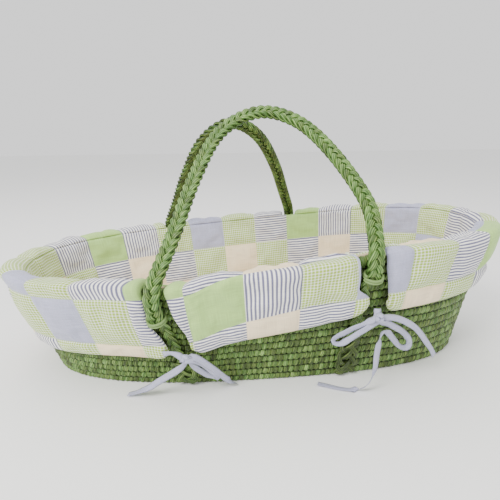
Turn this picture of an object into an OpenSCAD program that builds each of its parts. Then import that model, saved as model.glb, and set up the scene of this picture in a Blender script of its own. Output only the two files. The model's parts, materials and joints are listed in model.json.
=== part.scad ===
// Padded baby carry basket: a woven leaf basket with two braided handles, a padded patchwork
// lining that folds over the rim, tie ribbons at the front slots, and a mattress in a fitted sheet.
// Millimetres. The origin is on the underside, +X points to the head end, +Y to the rear, +Z up.

/* [Basket] */
// Half the length of the rim, to the middle of the wall
rim_half_length = 404; // [335:1:485]
// Half the width of the rim, to the middle of the wall
rim_half_width = 203; // [168:1:245]
// Squareness of the rim outline, where 2 is an ellipse
rim_squareness = 2.53; // [2.1:0.01:3.0]
// Half the length of the base
base_half_length = 358; // [300:1:430]
// Half the width of the base
base_half_width = 136; // [113:1:164]
// Squareness of the base outline
base_squareness = 2.62; // [2.1:0.01:3.0]
// How far the base sits towards the head end
base_shift = 10; // [0:1:20]
// Height of the lining's crest at mid-length
crest_height = 208; // [173:1:250]
// Rise of the crest per metre towards the head end
crest_slope = 73; // [0:1:100]
// Upward bow of the crest towards both ends, per square metre
crest_bow = 26; // [0:1:60]
// Thickness of the woven wall
wall_thickness = 12; // [10:0.5:14.5]
// Number of woven courses in the wall
course_count = 14; // [10:1:16]
// Thickness of the woven floor
floor_thickness = 8; // [6:0.5:10]
// Width of the rolled rim
roll_width = 16; // [14:0.5:18]
// Height of the rolled rim
roll_height = 15; // [12:0.5:18]

/* [Front rim] */
// Depth of the dip in the front rim beside the foot-side slot
dip_depth = 10; // [0:0.5:14]
// Height of the swell in the front rim beside the head-side slot
swell_height = 8.5; // [0:0.5:12]

/* [Handles] */
// Diameter of the braid
braid_d = 21; // [17:0.5:26]
// Height of the front handle above its feet, along its own plane
front_reach = 288; // [240:1:345]
// Height of the rear handle above its feet, along its own plane
rear_reach = 284; // [240:1:340]
// Inward lean of the front handle from upright
front_lean = 42; // [36:1:44]
// Inward lean of the rear handle from upright
rear_lean = 44; // [38:1:46]
// Distance of the foot-side front handle foot from mid-length
front_foot_a = -151; // [-168:1:-135]
// Distance of the head-side front handle foot from mid-length
front_foot_b = 135; // [118:1:155]
// Distance of the foot-side rear handle foot from mid-length
rear_foot_a = -169; // [-188:1:-150]
// Distance of the head-side rear handle foot from mid-length
rear_foot_b = 100; // [85:1:118]
// Clearance between a lashing and the wall behind it
foot_clearance = 1.9; // [1.6:0.1:3]
// Diameter of the leaf cord in a lashing
lash_d = 3.6; // [3:0.1:4.4]
// Width of a plaited strap
strap_width = 18; // [14:0.5:20]
// Thickness of a plaited strap
strap_thickness = 7; // [5:0.5:9]
// Width of a knot mat
mat_width = 36; // [30:1:42]
// Thickness of a knot mat
mat_thickness = 9; // [6:0.5:10]

/* [Lining] */
// Thickness of the padded lining
lining_thickness = 8; // [6:0.5:9]
// Drop of the foot end flap below the crest
foot_drop = 128; // [100:1:140]
// Drop of the head end flap below the crest
head_drop = 103; // [90:1:140]
// Drop of the front flap at its foot-side edge
front_drop_a = 121; // [95:1:130]
// Drop of the front flap at its head-side edge
front_drop_b = 100; // [85:1:120]
// Drop of the rear flap
rear_drop = 118; // [95:1:140]
// Clearance between a strap and the flap that lifts over it beside a slot
strap_clearance = 2.7; // [1.5:0.1:4]
// Thickness of the lining's floor panel
panel_thickness = 6; // [4:0.5:8]

/* [Mattress] */
// Thickness of the foam
foam_thickness = 55; // [40:1:70]
// Thickness of the fitted sheet
sheet_thickness = 1.2; // [0.8:0.1:2]
// Gap between the mattress and the lining, all round
mattress_gap = 6; // [4:0.5:12]
// Width of the sheet's turned-under hem
sheet_hem = 60; // [30:1:90]

/* [Ribbons] */
// Diameter of the rolled tie ribbons
ribbon_d = 3.2; // [2.8:0.1:3.6]
// Width of a tied knot
knot_width = 15; // [14:0.5:17]

/* [Hidden] */
// Gap between neighbouring pieces that are laid on each other
gap = 0.3;
// Gap between the lining and the wall or the roll that it wraps
lining_gap = 2.6;
// Gap between the rolled rim and the flap that folds over it
crest_gap = 1.8;
// Gap between the rolled rim and the inner band
band_gap = 0.6;
// Gap between the wall and the straps and mats that are tied on it
skin_gap = 3 * gap;
// Steps round the basket, one for about every 40 mm of rim
steps = 4 * round(rim_half_length / 27);
// Columns of each flap, and how many of them a flap takes to come back to the wall from a slot
foot_columns = 18;
head_columns = 20;
side_columns = 12;
ramp_columns = 3;
// Rise of a handle's pivot above the top of the rolled rim
pivot_rise = 1;
// Space left between a handle's rounded end and the rounded top of its root
root_gap = 1.5;
// Height of a lashing's first turn and the rise to its second, in cord diameters
lash_start = 0.8;
lash_rise = 1.15;
// Top of a strap: its distance below the root's end, and the share of the foot's standoff
// by which it is set in from the braid's middle
strap_start = 3;
strap_set_in = 0.95;
mat_squareness = 2.4;
// Angles round the rounded ends of a handle, in degrees
end_angles = [75.5, 53, 30.5];
// A direction that no ribbon runs along
ribbon_up = [0.1, -0.9, 0.42];
leaf_green = "#6f8f4a";
dark_leaf = "#55743a";
lime = "#c3d68c";
lilac = "#b4b3cb";
cream = "#efe4cd";

// Places of the dip and the swell in the front rim, and their half widths
dip_x = front_foot_a + 26;
dip_width = 48;
swell_x = front_foot_b + 35;
swell_width = 95;

// Each handle's middle line: shares of the distance between its feet, and of its reach
front_arch = [
    [-0.5, 0], [-0.45, 0.11], [-0.373, 0.29], [-0.243, 0.62], [-0.09, 0.89], [0.127, 1],
    [0.315, 0.9], [0.447, 0.66], [0.54, 0.32], [0.525, 0.11], [0.5, 0]
];
rear_arch = [
    [-0.5, 0], [-0.46, 0.11], [-0.4, 0.27], [-0.3, 0.56], [-0.155, 0.87], [0.03, 1],
    [0.2, 0.88], [0.33, 0.6], [0.425, 0.28], [0.475, 0.11], [0.5, 0]
];

// Each handle foot: side (-1 front, 1 rear), distance from mid-length, length of the root,
// distance of the knot mat from mid-length, height of the mat's lower end, and the mat's length
feet = [
    [-1, front_foot_a, 27, front_foot_a + 10, 4, 50],
    [-1, front_foot_b, 10, front_foot_b - 4, 4, 82],
    [1, rear_foot_a, 32, rear_foot_a + 14, 4, 56],
    [1, rear_foot_b, 19, rear_foot_b - 4, 4, 70]
];
foot_names = ["front_foot_end", "front_head_end", "rear_foot_end", "rear_head_end"];

// Edges of the flaps at the slots: [share of the drop, clearance beside the braid's own width].
// A clearance below zero lies behind the braid, where the flap covers only the flat strap.
front_a_outer = [[0, 4], [0.36, 4.5], [0.5, 5.5], [0.66, -5.5], [1, -17.5]];
front_a_inner = [[0, 2.5], [0.36, 9.5], [0.5, 14.5], [0.66, 21.5], [1, 27.5]];
front_b_inner = [[0, 9.5], [0.3, 6.5], [0.5, 6.5], [0.66, -14.5], [1, -22.5]];
front_b_outer = [[0, 10.5], [0.25, 11.5], [0.5, 17.5], [0.75, 24.5], [1, 13.5]];
rear_a_outer = [[0, 4.5], [0.36, 5.5], [0.5, 5.5], [0.75, 1.5], [1, -6.5]];
rear_a_inner = [[0, 3.5], [0.36, 5.5], [0.5, 7.5], [0.75, 11.5], [1, 15.5]];
rear_b_inner = [[0, 3.5], [0.36, 5.5], [0.5, 7.5], [0.75, 11.5], [1, 13.5]];
rear_b_outer = [[0, 4.5], [0.36, 5.5], [0.5, 7.5], [0.75, 9.5], [1, 11.5]];

// Routes of the four tie ribbons, from the seam in a flap's corner, through the knot, to the end
knot_a = [-118, -194, 74];
knot_b = [158, -203, 127];
ribbon_a_tail = [
    [-150, -184, 78], [-141, -186, 80], [-132, -189, 79], [-124, -192, 77], [-117, -193, 72],
    [-121, -197, 66], [-130, -199, 60], [-140, -192, 50], [-151, -182, 38], [-163, -177, 28],
    [-175, -172, 18], [-187, -168, 11], [-199, -165, 5], [-210, -163, 2]
];
ribbon_a_loop = [
    [-122, -188, 66], [-122, -195, 71], [-117, -197, 74], [-108, -194, 72], [-99, -188, 65],
    [-90, -182, 54], [-81, -177, 42], [-74, -173, 32], [-71, -169, 24], [-74, -167, 21],
    [-81, -169, 25], [-91, -173, 35], [-101, -179, 47], [-109, -185, 59], [-113, -189, 69],
    [-110, -191, 75], [-102, -190, 72], [-91, -186, 61], [-79, -179, 46], [-68, -170, 30],
    [-57, -161, 15], [-46, -152, 3]
];
ribbon_b_loop = [
    [156, -198, 139], [155, -199, 132], [152, -200, 126], [145, -199, 120], [137, -196, 114],
    [125, -191, 107], [114, -188, 99], [104, -185, 92], [98, -185, 86], [100, -188, 83],
    [108, -191, 84], [119, -194, 91], [131, -195, 100], [143, -197, 109], [154, -198, 118],
    [164, -197, 123], [176, -194, 123], [190, -191, 119], [204, -188, 112], [219, -186, 102],
    [232, -183, 89], [245, -178, 73], [258, -172, 57], [269, -166, 39]
];
ribbon_b_tail = [
    [164, -192, 133], [160, -198, 131], [157, -203, 127], [158, -203, 123], [164, -200, 118],
    [175, -194, 113], [188, -189, 105], [201, -184, 96], [213, -178, 84], [221, -174, 72],
    [222, -171, 62], [217, -171, 59], [207, -174, 64], [196, -179, 76], [185, -186, 89],
    [175, -192, 100], [167, -199, 104], [162, -201, 97], [161, -200, 81], [161, -197, 62],
    [161, -195, 43], [158, -193, 25], [151, -193, 12], [141, -191, 5], [127, -187, 3],
    [112, -181, 2], [97, -174, 2], [82, -167, 2]
];

half_wall = wall_thickness / 2;
roll_half = roll_width / 2;
flap_in = roll_half + lining_gap;
flap_out = flap_in + lining_thickness;
band_out = roll_half + band_gap;
band_in = band_out + lining_thickness;
roll_top = lining_thickness + crest_gap;
wall_top = roll_top + roll_height + gap;
panel_bottom = floor_thickness + gap;
band_bottom = panel_bottom + panel_thickness + gap;
mattress_bottom = band_bottom;
pivot_drop = roll_top - pivot_rise;
braid_r = braid_d / 2;
foot_standoff = half_wall + braid_r + lash_d + foot_clearance;
slot_lift = max(0, half_wall + skin_gap + strap_thickness + strap_clearance - flap_in);
root_drop = braid_d + root_gap;

// A flap's fold over the rim, from inside to outside: [off, depth below the crest] of its face
// and of its back; and the shares of its drop at which it has its other rows
fold_face = [
    [-band_in, roll_top - 1.4], [-band_in + 3, 2.6], [-4, 0], [6, 0], [flap_out - 3, 3], [flap_out, 12]
];
fold_back = [
    [-band_out - 0.4, roll_top - 1.4], [-6, roll_top - 1.6], [-3, roll_top - 1.6],
    [5, roll_top - 1.6], [flap_in - 1.5, roll_top - 0.6], [flap_in, 14]
];
drop_shares = [0.25, 0.36, 0.5, 0.66, 0.75, 1];

course_names = [for (i = [1 : course_count]) str("course_", i < 10 ? "0" : "", i)];
root_names = [for (f = foot_names) str("root_", f)];
lash_names = [for (f = foot_names) str("lashing_", f)];
strap_names = [for (f = foot_names) str("strap_", f)];
mat_names = [for (f = foot_names) str("knot_mat_", f)];
ribbon_names = ["ribbon_a_tail", "ribbon_a_loop", "ribbon_b_loop", "ribbon_b_tail"];
ribbon_routes = [ribbon_a_tail, ribbon_a_loop, ribbon_b_loop, ribbon_b_tail];

// ---- vectors and curves ----
function unit(v) = v / norm(v);
function mix(a, b, k) = a + (b - a) * k;
function smooth(k) = let (c = min(max(k, 0), 1)) c * c * (3 - 2 * c);
function bell(x, centre, width) = exp(-pow((x - centre) / width, 2));

// A value read from a list of [key, value] pairs
function read(pairs, key, i = 1) =
    i >= len(pairs) - 1 || key <= pairs[i][0]
        ? mix(pairs[i - 1][1], pairs[i][1],
            min(max((key - pairs[i - 1][0]) / (pairs[i][0] - pairs[i - 1][0]), 0), 1))
        : read(pairs, key, i + 1);

// One point of a smooth curve through a list of points; k runs from 0 to the last index
function through(p, k) =
    let (
        i = min(floor(k), len(p) - 2), s = k - i,
        a = p[max(i - 1, 0)], b = p[i], c = p[i + 1], d = p[min(i + 2, len(p) - 1)]
    )
    0.5 * (2 * b + (c - a) * s + (2 * a - 5 * b + 4 * c - d) * s * s + (3 * b - a - 3 * c + d) * s * s * s);

// ---- the wall's middle surface ----
function outline(a, b, q, t) =
    [a * cos(t), b * sin(t)] / pow(pow(abs(cos(t)), q) + pow(abs(sin(t)), q), 1 / q);
function rim_point(t, off = 0) =
    outline(rim_half_length + off, rim_half_width + off, rim_squareness, t);
function base_point(t, off = 0) =
    outline(base_half_length + off, base_half_width + off, base_squareness, t) + [base_shift, 0];
function front_shape(x) = swell_height * bell(x, swell_x, swell_width) - dip_depth * bell(x, dip_x, dip_width);
function crest(t) =
    let (p = rim_point(t), m = p[0] / 1000)
    crest_height + crest_slope * m + crest_bow * m * m + (p[1] < 0 ? front_shape(p[0]) : 0);

// The angle whose rim point has the given x, on the front (side -1) or the rear (side 1)
function angle_at(x, side) =
    let (k = x / rim_half_length)
    side * atan2(pow(1 - pow(abs(k), rim_squareness), 1 / rim_squareness), k);

// A point on the wall at angle t and height z, off millimetres outside its middle surface
function wall_point(t, z, off = 0) =
    let (xy = mix(base_point(t, off), rim_point(t, off), z / crest(t))) [xy[0], xy[1], z];

// ---- solids from sections ----
function side_faces(n, k, closed) = [
    for (i = [0 : n - (closed ? 1 : 2)], j = [0 : k - 1])
        let (a = i * k, b = ((i + 1) % n) * k, c = (j + 1) % k)
        each [[a + j, b + c, b + j], [a + j, a + c, b + c]]
];
// A flat or hooked end, closed by a ladder of triangles between its two long sides
function end_faces(k, at) = [
    for (j = [0 : k / 2 - 2])
        each [[at + j, at + k - 2 - j, at + j + 1], [at + j, at + k - 1 - j, at + k - 2 - j]]
];
function turned(faces) = [for (f = faces) [f[0], f[2], f[1]]];

module solid_through(sections, closed = false) {
    n = len(sections);
    k = len(sections[0]);
    ends = closed ? [] : concat(end_faces(k, 0), turned(end_faces(k, (n - 1) * k)));
    polyhedron([for (s = sections) each s], concat(side_faces(n, k, closed), ends));
}

// A closed hoop that follows the wall: section is a list of [off, height] at angle t
module hoop(rows) {
    solid_through([for (i = [0 : steps - 1]) let (t = 360 * i / steps)
        [for (r = rows) wall_point(t, r[1] * crest(t) + r[2], r[0])]], true);
}

function circle_section(centre, a, b, r, sides) =
    [for (j = [0 : sides - 1]) centre + r * (cos(360 * j / sides) * a + sin(360 * j / sides) * b)];

// A round tube through points, at right angles to its own direction; up is never along it
module tube(points, radii, up, sides) {
    last = len(points) - 1;
    solid_through([for (i = [0 : last])
        let (
            along = unit(points[min(i + 1, last)] - points[max(i - 1, 0)]),
            across = unit(cross(along, up)), over = cross(across, along)
        ) circle_section(points[i], across, over, radii[i], sides)]);
}

// ---- woven basket ----
module basket_floor() {
    color(dark_leaf) linear_extrude(floor_thickness)
        polygon([for (i = [0 : steps - 1]) base_point(360 * i / steps, -half_wall - gap)]);
}

// A course takes its share of the wall's height, so the courses fan out towards the head end
module course(i) {
    low = (i - 1) / course_count;
    high = i / course_count;
    low_z = i == 1 ? 0 : gap / 2 - wall_top * low;
    high_z = -gap / 2 - wall_top * high;
    color(i % 2 == 0 ? leaf_green : dark_leaf) hoop([
        [-half_wall, low, low_z], [half_wall, low, low_z],
        [half_wall, high, high_z], [-half_wall, high, high_z]
    ]);
}

module rim_roll() {
    bottom = -roll_top - roll_height;
    middle = -roll_top - roll_height / 2;
    color(leaf_green) hoop([
        [-roll_half, 1, middle], [-roll_half / 2, 1, bottom], [roll_half / 2, 1, bottom],
        [roll_half, 1, middle], [roll_half / 2, 1, -roll_top], [-roll_half / 2, 1, -roll_top]
    ]);
}

// ---- handle feet ----
function foot_angle(f) = angle_at(f[1], f[0]);
function pivot(f) = let (t = foot_angle(f)) wall_point(t, crest(t) - pivot_drop, foot_standoff);
function outward(f) = let (t = foot_angle(f), z = crest(t) / 2)
    let (along = wall_point(t + 1, z) - wall_point(t - 1, z), up = wall_point(t, z + 40) - wall_point(t, z))
    unit(cross(along, up));
function down_wall(f) = let (t = foot_angle(f), z = crest(t))
    unit(wall_point(t, z - 60, foot_standoff) - wall_point(t, z - 10, foot_standoff));

// Sets its children on the wall: their Z runs up it, and their Y points out of it
module on_wall(at, up, out) {
    across = unit(cross(out, up));
    square_out = cross(up, across);
    multmatrix([
        [across[0], square_out[0], up[0], at[0]], [across[1], square_out[1], up[1], at[1]],
        [across[2], square_out[2], up[2], at[2]]
    ]) children();
}

function root_top(f) = pivot(f) + root_drop * down_wall(f);
function root_end(f) = root_top(f) + f[2] * down_wall(f);

module root(f) {
    color(leaf_green) on_wall(root_end(f), -down_wall(f), outward(f)) {
        cylinder(r = braid_r, h = f[2], $fn = 32);
        translate([0, 0, f[2]]) sphere(r = braid_r, $fn = 32);
    }
}

// Two turns of leaf cord round the root
module lashing(f) {
    color(dark_leaf) on_wall(root_end(f), -down_wall(f), outward(f)) for (turn = [0 : 1])
        translate([0, 0, lash_d * (lash_start + lash_rise * turn)]) rotate_extrude($fn = 32)
            translate([braid_r + gap / 2 + lash_d / 2, 0]) circle(d = lash_d, $fn = 16);
}

function mat_angle(f) = angle_at(f[3], f[0]);
function skin(f, t, z, rise) = wall_point(t, z, half_wall + skin_gap + rise);
function mat_low(f) = skin(f, mat_angle(f), f[4], mat_thickness / 2);
function mat_up(f) = unit(skin(f, mat_angle(f), f[4] + f[5], mat_thickness / 2) - mat_low(f));

// A flat plaited strap from the lashing down to the knot mat
module strap(f) {
    low = mat_low(f) + (f[5] + gap * 2) * mat_up(f) - outward(f) * (mat_thickness - strap_thickness) / 2;
    high = root_end(f) + down_wall(f) * strap_start
        - outward(f) * (foot_standoff * strap_set_in - half_wall - skin_gap - strap_thickness / 2);
    length = norm(high - low);
    color(leaf_green) on_wall(low, unit(high - low), outward(f))
        translate([-strap_width / 2, -strap_thickness / 2, 0])
            cube([strap_width, strap_thickness, length]);
}

// The oval mat that ends the strap near the base
module knot_mat(f) {
    color(dark_leaf) on_wall(mat_low(f), mat_up(f), outward(f))
        translate([0, mat_thickness / 2, f[5] / 2]) rotate([90, 0, 0]) linear_extrude(mat_thickness)
            polygon([for (i = [0 : 31]) outline(mat_width / 2, f[5] / 2, mat_squareness, 360 * i / 32)]);
}

// ---- handles ----
// The moving braid starts at its pivots and leans inward over the basket
module handle(foot_a, foot_b, arch, reach, lean) {
    a = pivot(foot_a);
    b = pivot(foot_b);
    along = unit(b - a);
    upright = unit([0, 0, 1] - along[2] * along);
    leaning = cos(lean) * upright - sin(lean) * [0, foot_a[0], 0];
    rise = unit(leaning - (leaning * along) * along);
    middle = (a + b) / 2;
    rings = 44;
    last = len(arch) - 1;
    path = [for (i = [0 : rings]) let (p = through(arch, last * i / rings))
        middle + along * p[0] * norm(b - a) + rise * p[1] * reach];
    first = unit(path[0] - path[1]);
    final = unit(path[rings] - path[rings - 1]);
    // Rounded ends, so that the braid can turn about its foot
    points = concat(
        [for (w = end_angles) path[0] + first * braid_r * sin(w)], path,
        [for (i = [2 : -1 : 0]) path[rings] + final * braid_r * sin(end_angles[i])]
    );
    radii = concat(
        [for (w = end_angles) braid_r * cos(w)], [for (i = [0 : rings]) braid_r],
        [for (i = [2 : -1 : 0]) braid_r * cos(end_angles[i])]
    );
    color(leaf_green) tube(points, radii, cross(along, rise), 12);
}

module handle_front() { handle(feet[0], feet[1], front_arch, front_reach, front_lean); }
module handle_rear() { handle(feet[2], feet[3], rear_arch, rear_reach, rear_lean); }

// ---- lining ----
module lining_floor() {
    color(cream) translate([0, 0, panel_bottom]) linear_extrude(panel_thickness)
        polygon([for (i = [0 : steps - 1]) base_point(360 * i / steps, -half_wall - skin_gap)]);
}

module lining_band() {
    top = -roll_top - gap;
    color(lime) hoop([
        [-band_in, 0, band_bottom], [-band_out, 0, band_bottom], [-band_out, 1, top], [-band_in, 1, top]
    ]);
}

// Rows of a flap's face or back: [off, depth below the crest, share of the drop]
function flap_rows(fold, off) = concat(
    [for (p = fold) [p[0], p[1], 0]], [for (s = drop_shares) [off, 0, s]]
);

// A flap: from the top of the inner band, over the rolled rim and down outside the wall
module flap(angle_a, angle_b, columns, drop_a, drop_b) {
    outer = flap_rows(fold_face, flap_out);
    inner = flap_rows(fold_back, flap_in);
    count = len(outer);
    rows = concat(outer, [for (i = [count - 1 : -1 : 0]) inner[i]]);
    solid_through([for (c = [0 : columns])
        [for (r = rows)
            let (
                k = c / columns,
                t = mix(angle_a(r[2]), angle_b(r[2]), k),
                drop = mix(drop_a, drop_b, k),
                edge = min(k, 1 - k) * columns / ramp_columns,
                lift = slot_lift * (1 - smooth(edge)) * smooth(r[2] / 0.5),
                depth = r[2] > 0 ? r[2] * drop : r[1]
            ) wall_point(t, crest(t) - depth, r[0] + lift)]]);
}

// Angle of a flap's edge at a share of its drop, beside foot f towards the end given by way (-1 or 1);
// turn adds a full turn where the flap goes round an end of the basket
function edge_angle(f, way, table, share, turn = 0) =
    angle_at(f[1] + way * (braid_r + read(table, share)), f[0]) + turn;

module flap_foot() {
    color(lime) flap(
        function (s) edge_angle(feet[0], -1, front_a_outer, s),
        function (s) edge_angle(feet[2], -1, rear_a_outer, s, -360),
        foot_columns, foot_drop, foot_drop);
}
module flap_front() {
    color(lilac) flap(
        function (s) edge_angle(feet[1], -1, front_b_inner, s),
        function (s) edge_angle(feet[0], 1, front_a_inner, s),
        side_columns, front_drop_b, front_drop_a);
}
module flap_head() {
    color(lime) flap(
        function (s) edge_angle(feet[3], 1, rear_b_outer, s),
        function (s) edge_angle(feet[1], 1, front_b_outer, s),
        head_columns, head_drop, head_drop);
}
module flap_rear() {
    color(lilac) flap(
        function (s) edge_angle(feet[2], 1, rear_a_inner, s),
        function (s) edge_angle(feet[3], -1, rear_b_inner, s),
        side_columns, rear_drop, rear_drop);
}

// ---- mattress ----
function mattress_outline(inset) =
    [for (i = [0 : steps - 1]) base_point(360 * i / steps, -band_in - mattress_gap - inset)];

module mattress_foam() {
    color(cream) translate([0, 0, mattress_bottom + sheet_thickness + gap]) linear_extrude(foam_thickness)
        polygon(mattress_outline(sheet_thickness + gap));
}

// The sheet wraps the foam and turns under it all round
module fitted_sheet() {
    height = foam_thickness + 2 * (sheet_thickness + gap);
    color(cream) translate([0, 0, mattress_bottom]) difference() {
        linear_extrude(height) polygon(mattress_outline(0));
        translate([0, 0, sheet_thickness]) linear_extrude(foam_thickness + 2 * gap)
            polygon(mattress_outline(sheet_thickness));
        translate([0, 0, -1]) linear_extrude(sheet_thickness + 2) polygon(mattress_outline(sheet_hem));
    }
}

// ---- tie ribbons ----
module bow_knot(centre) {
    color(lilac) translate(centre) sphere(d = knot_width, $fn = 24);
}

module ribbon(route) {
    color(lilac) tube(route, [for (p = route) ribbon_d / 2], ribbon_up, 8);
}

basket_floor();
for (i = [1 : course_count]) course(i);
rim_roll();
for (i = [0 : 3]) {
    root(feet[i]);
    lashing(feet[i]);
    strap(feet[i]);
    knot_mat(feet[i]);
}
handle_front();
handle_rear();
lining_floor();
lining_band();
flap_foot();
flap_front();
flap_head();
flap_rear();
mattress_foam();
fitted_sheet();
bow_knot(knot_a);  // bow_knot_a
bow_knot(knot_b);  // bow_knot_b
for (i = [0 : 3]) ribbon(ribbon_routes[i]);
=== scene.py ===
"""Padded baby basket: woven leaf wall, braided handles, quilted patchwork lining, ties and mattress."""

import json
import math

import bmesh
import bpy
import numpy as np
from mathutils import Matrix, Vector, noise

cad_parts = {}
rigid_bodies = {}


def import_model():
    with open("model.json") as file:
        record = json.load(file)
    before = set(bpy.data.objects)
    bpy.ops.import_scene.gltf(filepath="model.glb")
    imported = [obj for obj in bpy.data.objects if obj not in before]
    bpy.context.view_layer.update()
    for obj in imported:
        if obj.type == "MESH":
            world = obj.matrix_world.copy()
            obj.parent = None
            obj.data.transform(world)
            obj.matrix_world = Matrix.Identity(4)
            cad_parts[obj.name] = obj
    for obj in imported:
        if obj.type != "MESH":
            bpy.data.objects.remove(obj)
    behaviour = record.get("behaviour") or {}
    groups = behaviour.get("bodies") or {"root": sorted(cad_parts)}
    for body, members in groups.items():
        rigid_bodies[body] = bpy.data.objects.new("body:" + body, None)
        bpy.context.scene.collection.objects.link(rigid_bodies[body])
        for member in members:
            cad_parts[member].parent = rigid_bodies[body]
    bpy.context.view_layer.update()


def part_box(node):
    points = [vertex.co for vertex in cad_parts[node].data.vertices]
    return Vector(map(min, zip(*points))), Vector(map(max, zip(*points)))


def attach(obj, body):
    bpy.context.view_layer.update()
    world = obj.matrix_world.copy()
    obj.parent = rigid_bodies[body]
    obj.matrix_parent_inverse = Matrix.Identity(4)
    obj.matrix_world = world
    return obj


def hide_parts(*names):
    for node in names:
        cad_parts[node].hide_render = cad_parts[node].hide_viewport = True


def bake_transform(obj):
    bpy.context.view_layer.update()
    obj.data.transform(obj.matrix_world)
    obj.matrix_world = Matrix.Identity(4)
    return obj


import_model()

bl_info = {
    "name": "Padded Baby Basket",
    "version": (1, 0, 0),
    "blender": (4, 5, 0),
    "location": "3D View > Sidebar > Basket",
    "description": "Woven leaf basket with braided handles, a quilted lining, ribbon ties and a mattress",
    "category": "Object",
}

TURN = 2 * math.pi

# ---- the basket's own shape, in metres, with the same values as its frame ----
RIM = (0.404, 0.203, 2.53)  # half length, half width, squareness
BASE = (0.358, 0.136, 2.62)
BASE_SHIFT = 0.010
CREST_HEIGHT, CREST_SLOPE, CREST_BOW = 0.208, 0.073, 0.026
SWELL = (0.0085, 0.170, 0.095)  # height, place along the front, half width
DIP = (0.010, -0.125, 0.048)
HALF_WALL = 0.006
COURSES = 14
WALL_TOP = 0.0251  # below the crest
ROLL_MIDDLE = 0.0173  # below the crest
ROLL_HEIGHT, ROLL_WIDTH = 0.015, 0.016
FLOOR_THICKNESS = 0.008
BRAID_RADIUS = 0.0105
STANDOFF = 0.022  # from the wall's middle to the middle of a handle foot
PIVOT_DROP = 0.0088
ROOT_DROP = 0.0225
LASH_D = 0.0036
STRAP_THICKNESS = 0.007
MAT_THICKNESS, MAT_WIDTH = 0.009, 0.036
# By lobes across a mat, for two along it: start of the lobes, and the rises a round and their start
# that take every crossing over and then under
MAT_CURVES = {3: (0.736, 7, 5.498), 5: (0.932, 13, 2.749)}

# side, place along the basket, root length, mat's place, mat's low end, mat's length
FEET = {
    "front_foot_end": (-1, -0.151, 0.027, -0.141, 0.004, 0.050),
    "front_head_end": (-1, 0.135, 0.010, 0.131, 0.004, 0.082),
    "rear_foot_end": (1, -0.169, 0.032, -0.155, 0.004, 0.056),
    "rear_head_end": (1, 0.100, 0.019, 0.096, 0.004, 0.070),
}

# Each handle: its feet, its middle line as shares of the foot distance and of the reach, reach, lean
HANDLES = {
    "front": ("front_foot_end", "front_head_end", [
        (-0.5, 0), (-0.45, 0.11), (-0.373, 0.29), (-0.243, 0.62), (-0.09, 0.89), (0.127, 1),
        (0.315, 0.9), (0.447, 0.66), (0.54, 0.32), (0.525, 0.11), (0.5, 0)], 0.288, 42),
    "rear": ("rear_foot_end", "rear_head_end", [
        (-0.5, 0), (-0.46, 0.11), (-0.4, 0.27), (-0.3, 0.56), (-0.155, 0.87), (0.03, 1),
        (0.2, 0.88), (0.33, 0.6), (0.425, 0.28), (0.475, 0.11), (0.5, 0)], 0.284, 44),
}

# Flap edges at the slots: share of the drop, clearance beside the braid in metres
EDGES = {
    "front_a_outer": [(0, 0.004), (0.36, 0.0045), (0.5, 0.0055), (0.66, -0.0055), (1, -0.0175)],
    "front_a_inner": [(0, 0.0025), (0.36, 0.0095), (0.5, 0.0145), (0.66, 0.0215), (1, 0.0275)],
    "front_b_inner": [(0, 0.0095), (0.3, 0.0065), (0.5, 0.0065), (0.66, -0.0145), (1, -0.0225)],
    "front_b_outer": [(0, 0.0105), (0.25, 0.0115), (0.5, 0.0175), (0.75, 0.0245), (1, 0.0135)],
    "rear_a_outer": [(0, 0.0045), (0.36, 0.0055), (0.5, 0.0055), (0.75, 0.0015), (1, -0.0065)],
    "rear_a_inner": [(0, 0.0035), (0.36, 0.0055), (0.5, 0.0075), (0.75, 0.0115), (1, 0.0155)],
    "rear_b_inner": [(0, 0.0035), (0.36, 0.0055), (0.5, 0.0075), (0.75, 0.0115), (1, 0.0135)],
    "rear_b_outer": [(0, 0.0045), (0.36, 0.0055), (0.5, 0.0075), (0.75, 0.0095), (1, 0.0115)],
}

# Each flap: its low edge, its high edge (foot, way along the basket, edge), both drops, lift's share
FLAPS = {
    "front": (("front_foot_end", 1, "front_a_inner"), ("front_head_end", -1, "front_b_inner"),
              0.121, 0.100, 3 / 12),
    "head": (("front_head_end", 1, "front_b_outer"), ("rear_head_end", 1, "rear_b_outer"),
             0.103, 0.103, 3 / 20),
    "rear": (("rear_head_end", -1, "rear_b_inner"), ("rear_foot_end", 1, "rear_a_inner"),
             0.118, 0.118, 3 / 12),
    "foot": (("rear_foot_end", -1, "rear_a_outer"), ("front_foot_end", -1, "front_a_outer"),
             0.128, 0.128, 3 / 18),
}
SLOT_LIFT = 0.006
SEAM_MARGIN = 0.004  # nearest that a seam comes to a slot edge
CORNER_RADIUS = 0.020  # of the low corners of a flap
FLAP_STEP, BAND_STEP = 0.0052, 0.0060  # from point to point of the quilts

YARN = 0.0011  # across a thread of the cotton
WALL_SKIN = 0.0009  # gap between the wall and what lies on it
CORE_SHARE, CORE_EDGE = 0.72, 0.08  # of a course's half depth, and of its height at each edge
FLOOR_LEAF, FLOOR_RINGS = 0.0135, 8

# Strands by what they make: width, thickness, leaves side by side in one
STRANDS = {
    "handle": (0.0085, 0.0062, 3), "lashing": (LASH_D, LASH_D, 1),
    "strap": (0.0068, 0.0038, 2), "mat": (0.0074, 0.0034, 3),
}
SWINGS = {"handle": (0.0072, 0.0046), "strap": (0.0056, 0.0015)}  # of a strand, across and deep
STRAP_PERIOD = 0.042
MAT_EDGE, MAT_WEAVE = 0.0042, 0.0022  # outline to the strand's middle, and the strand's rise

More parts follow.
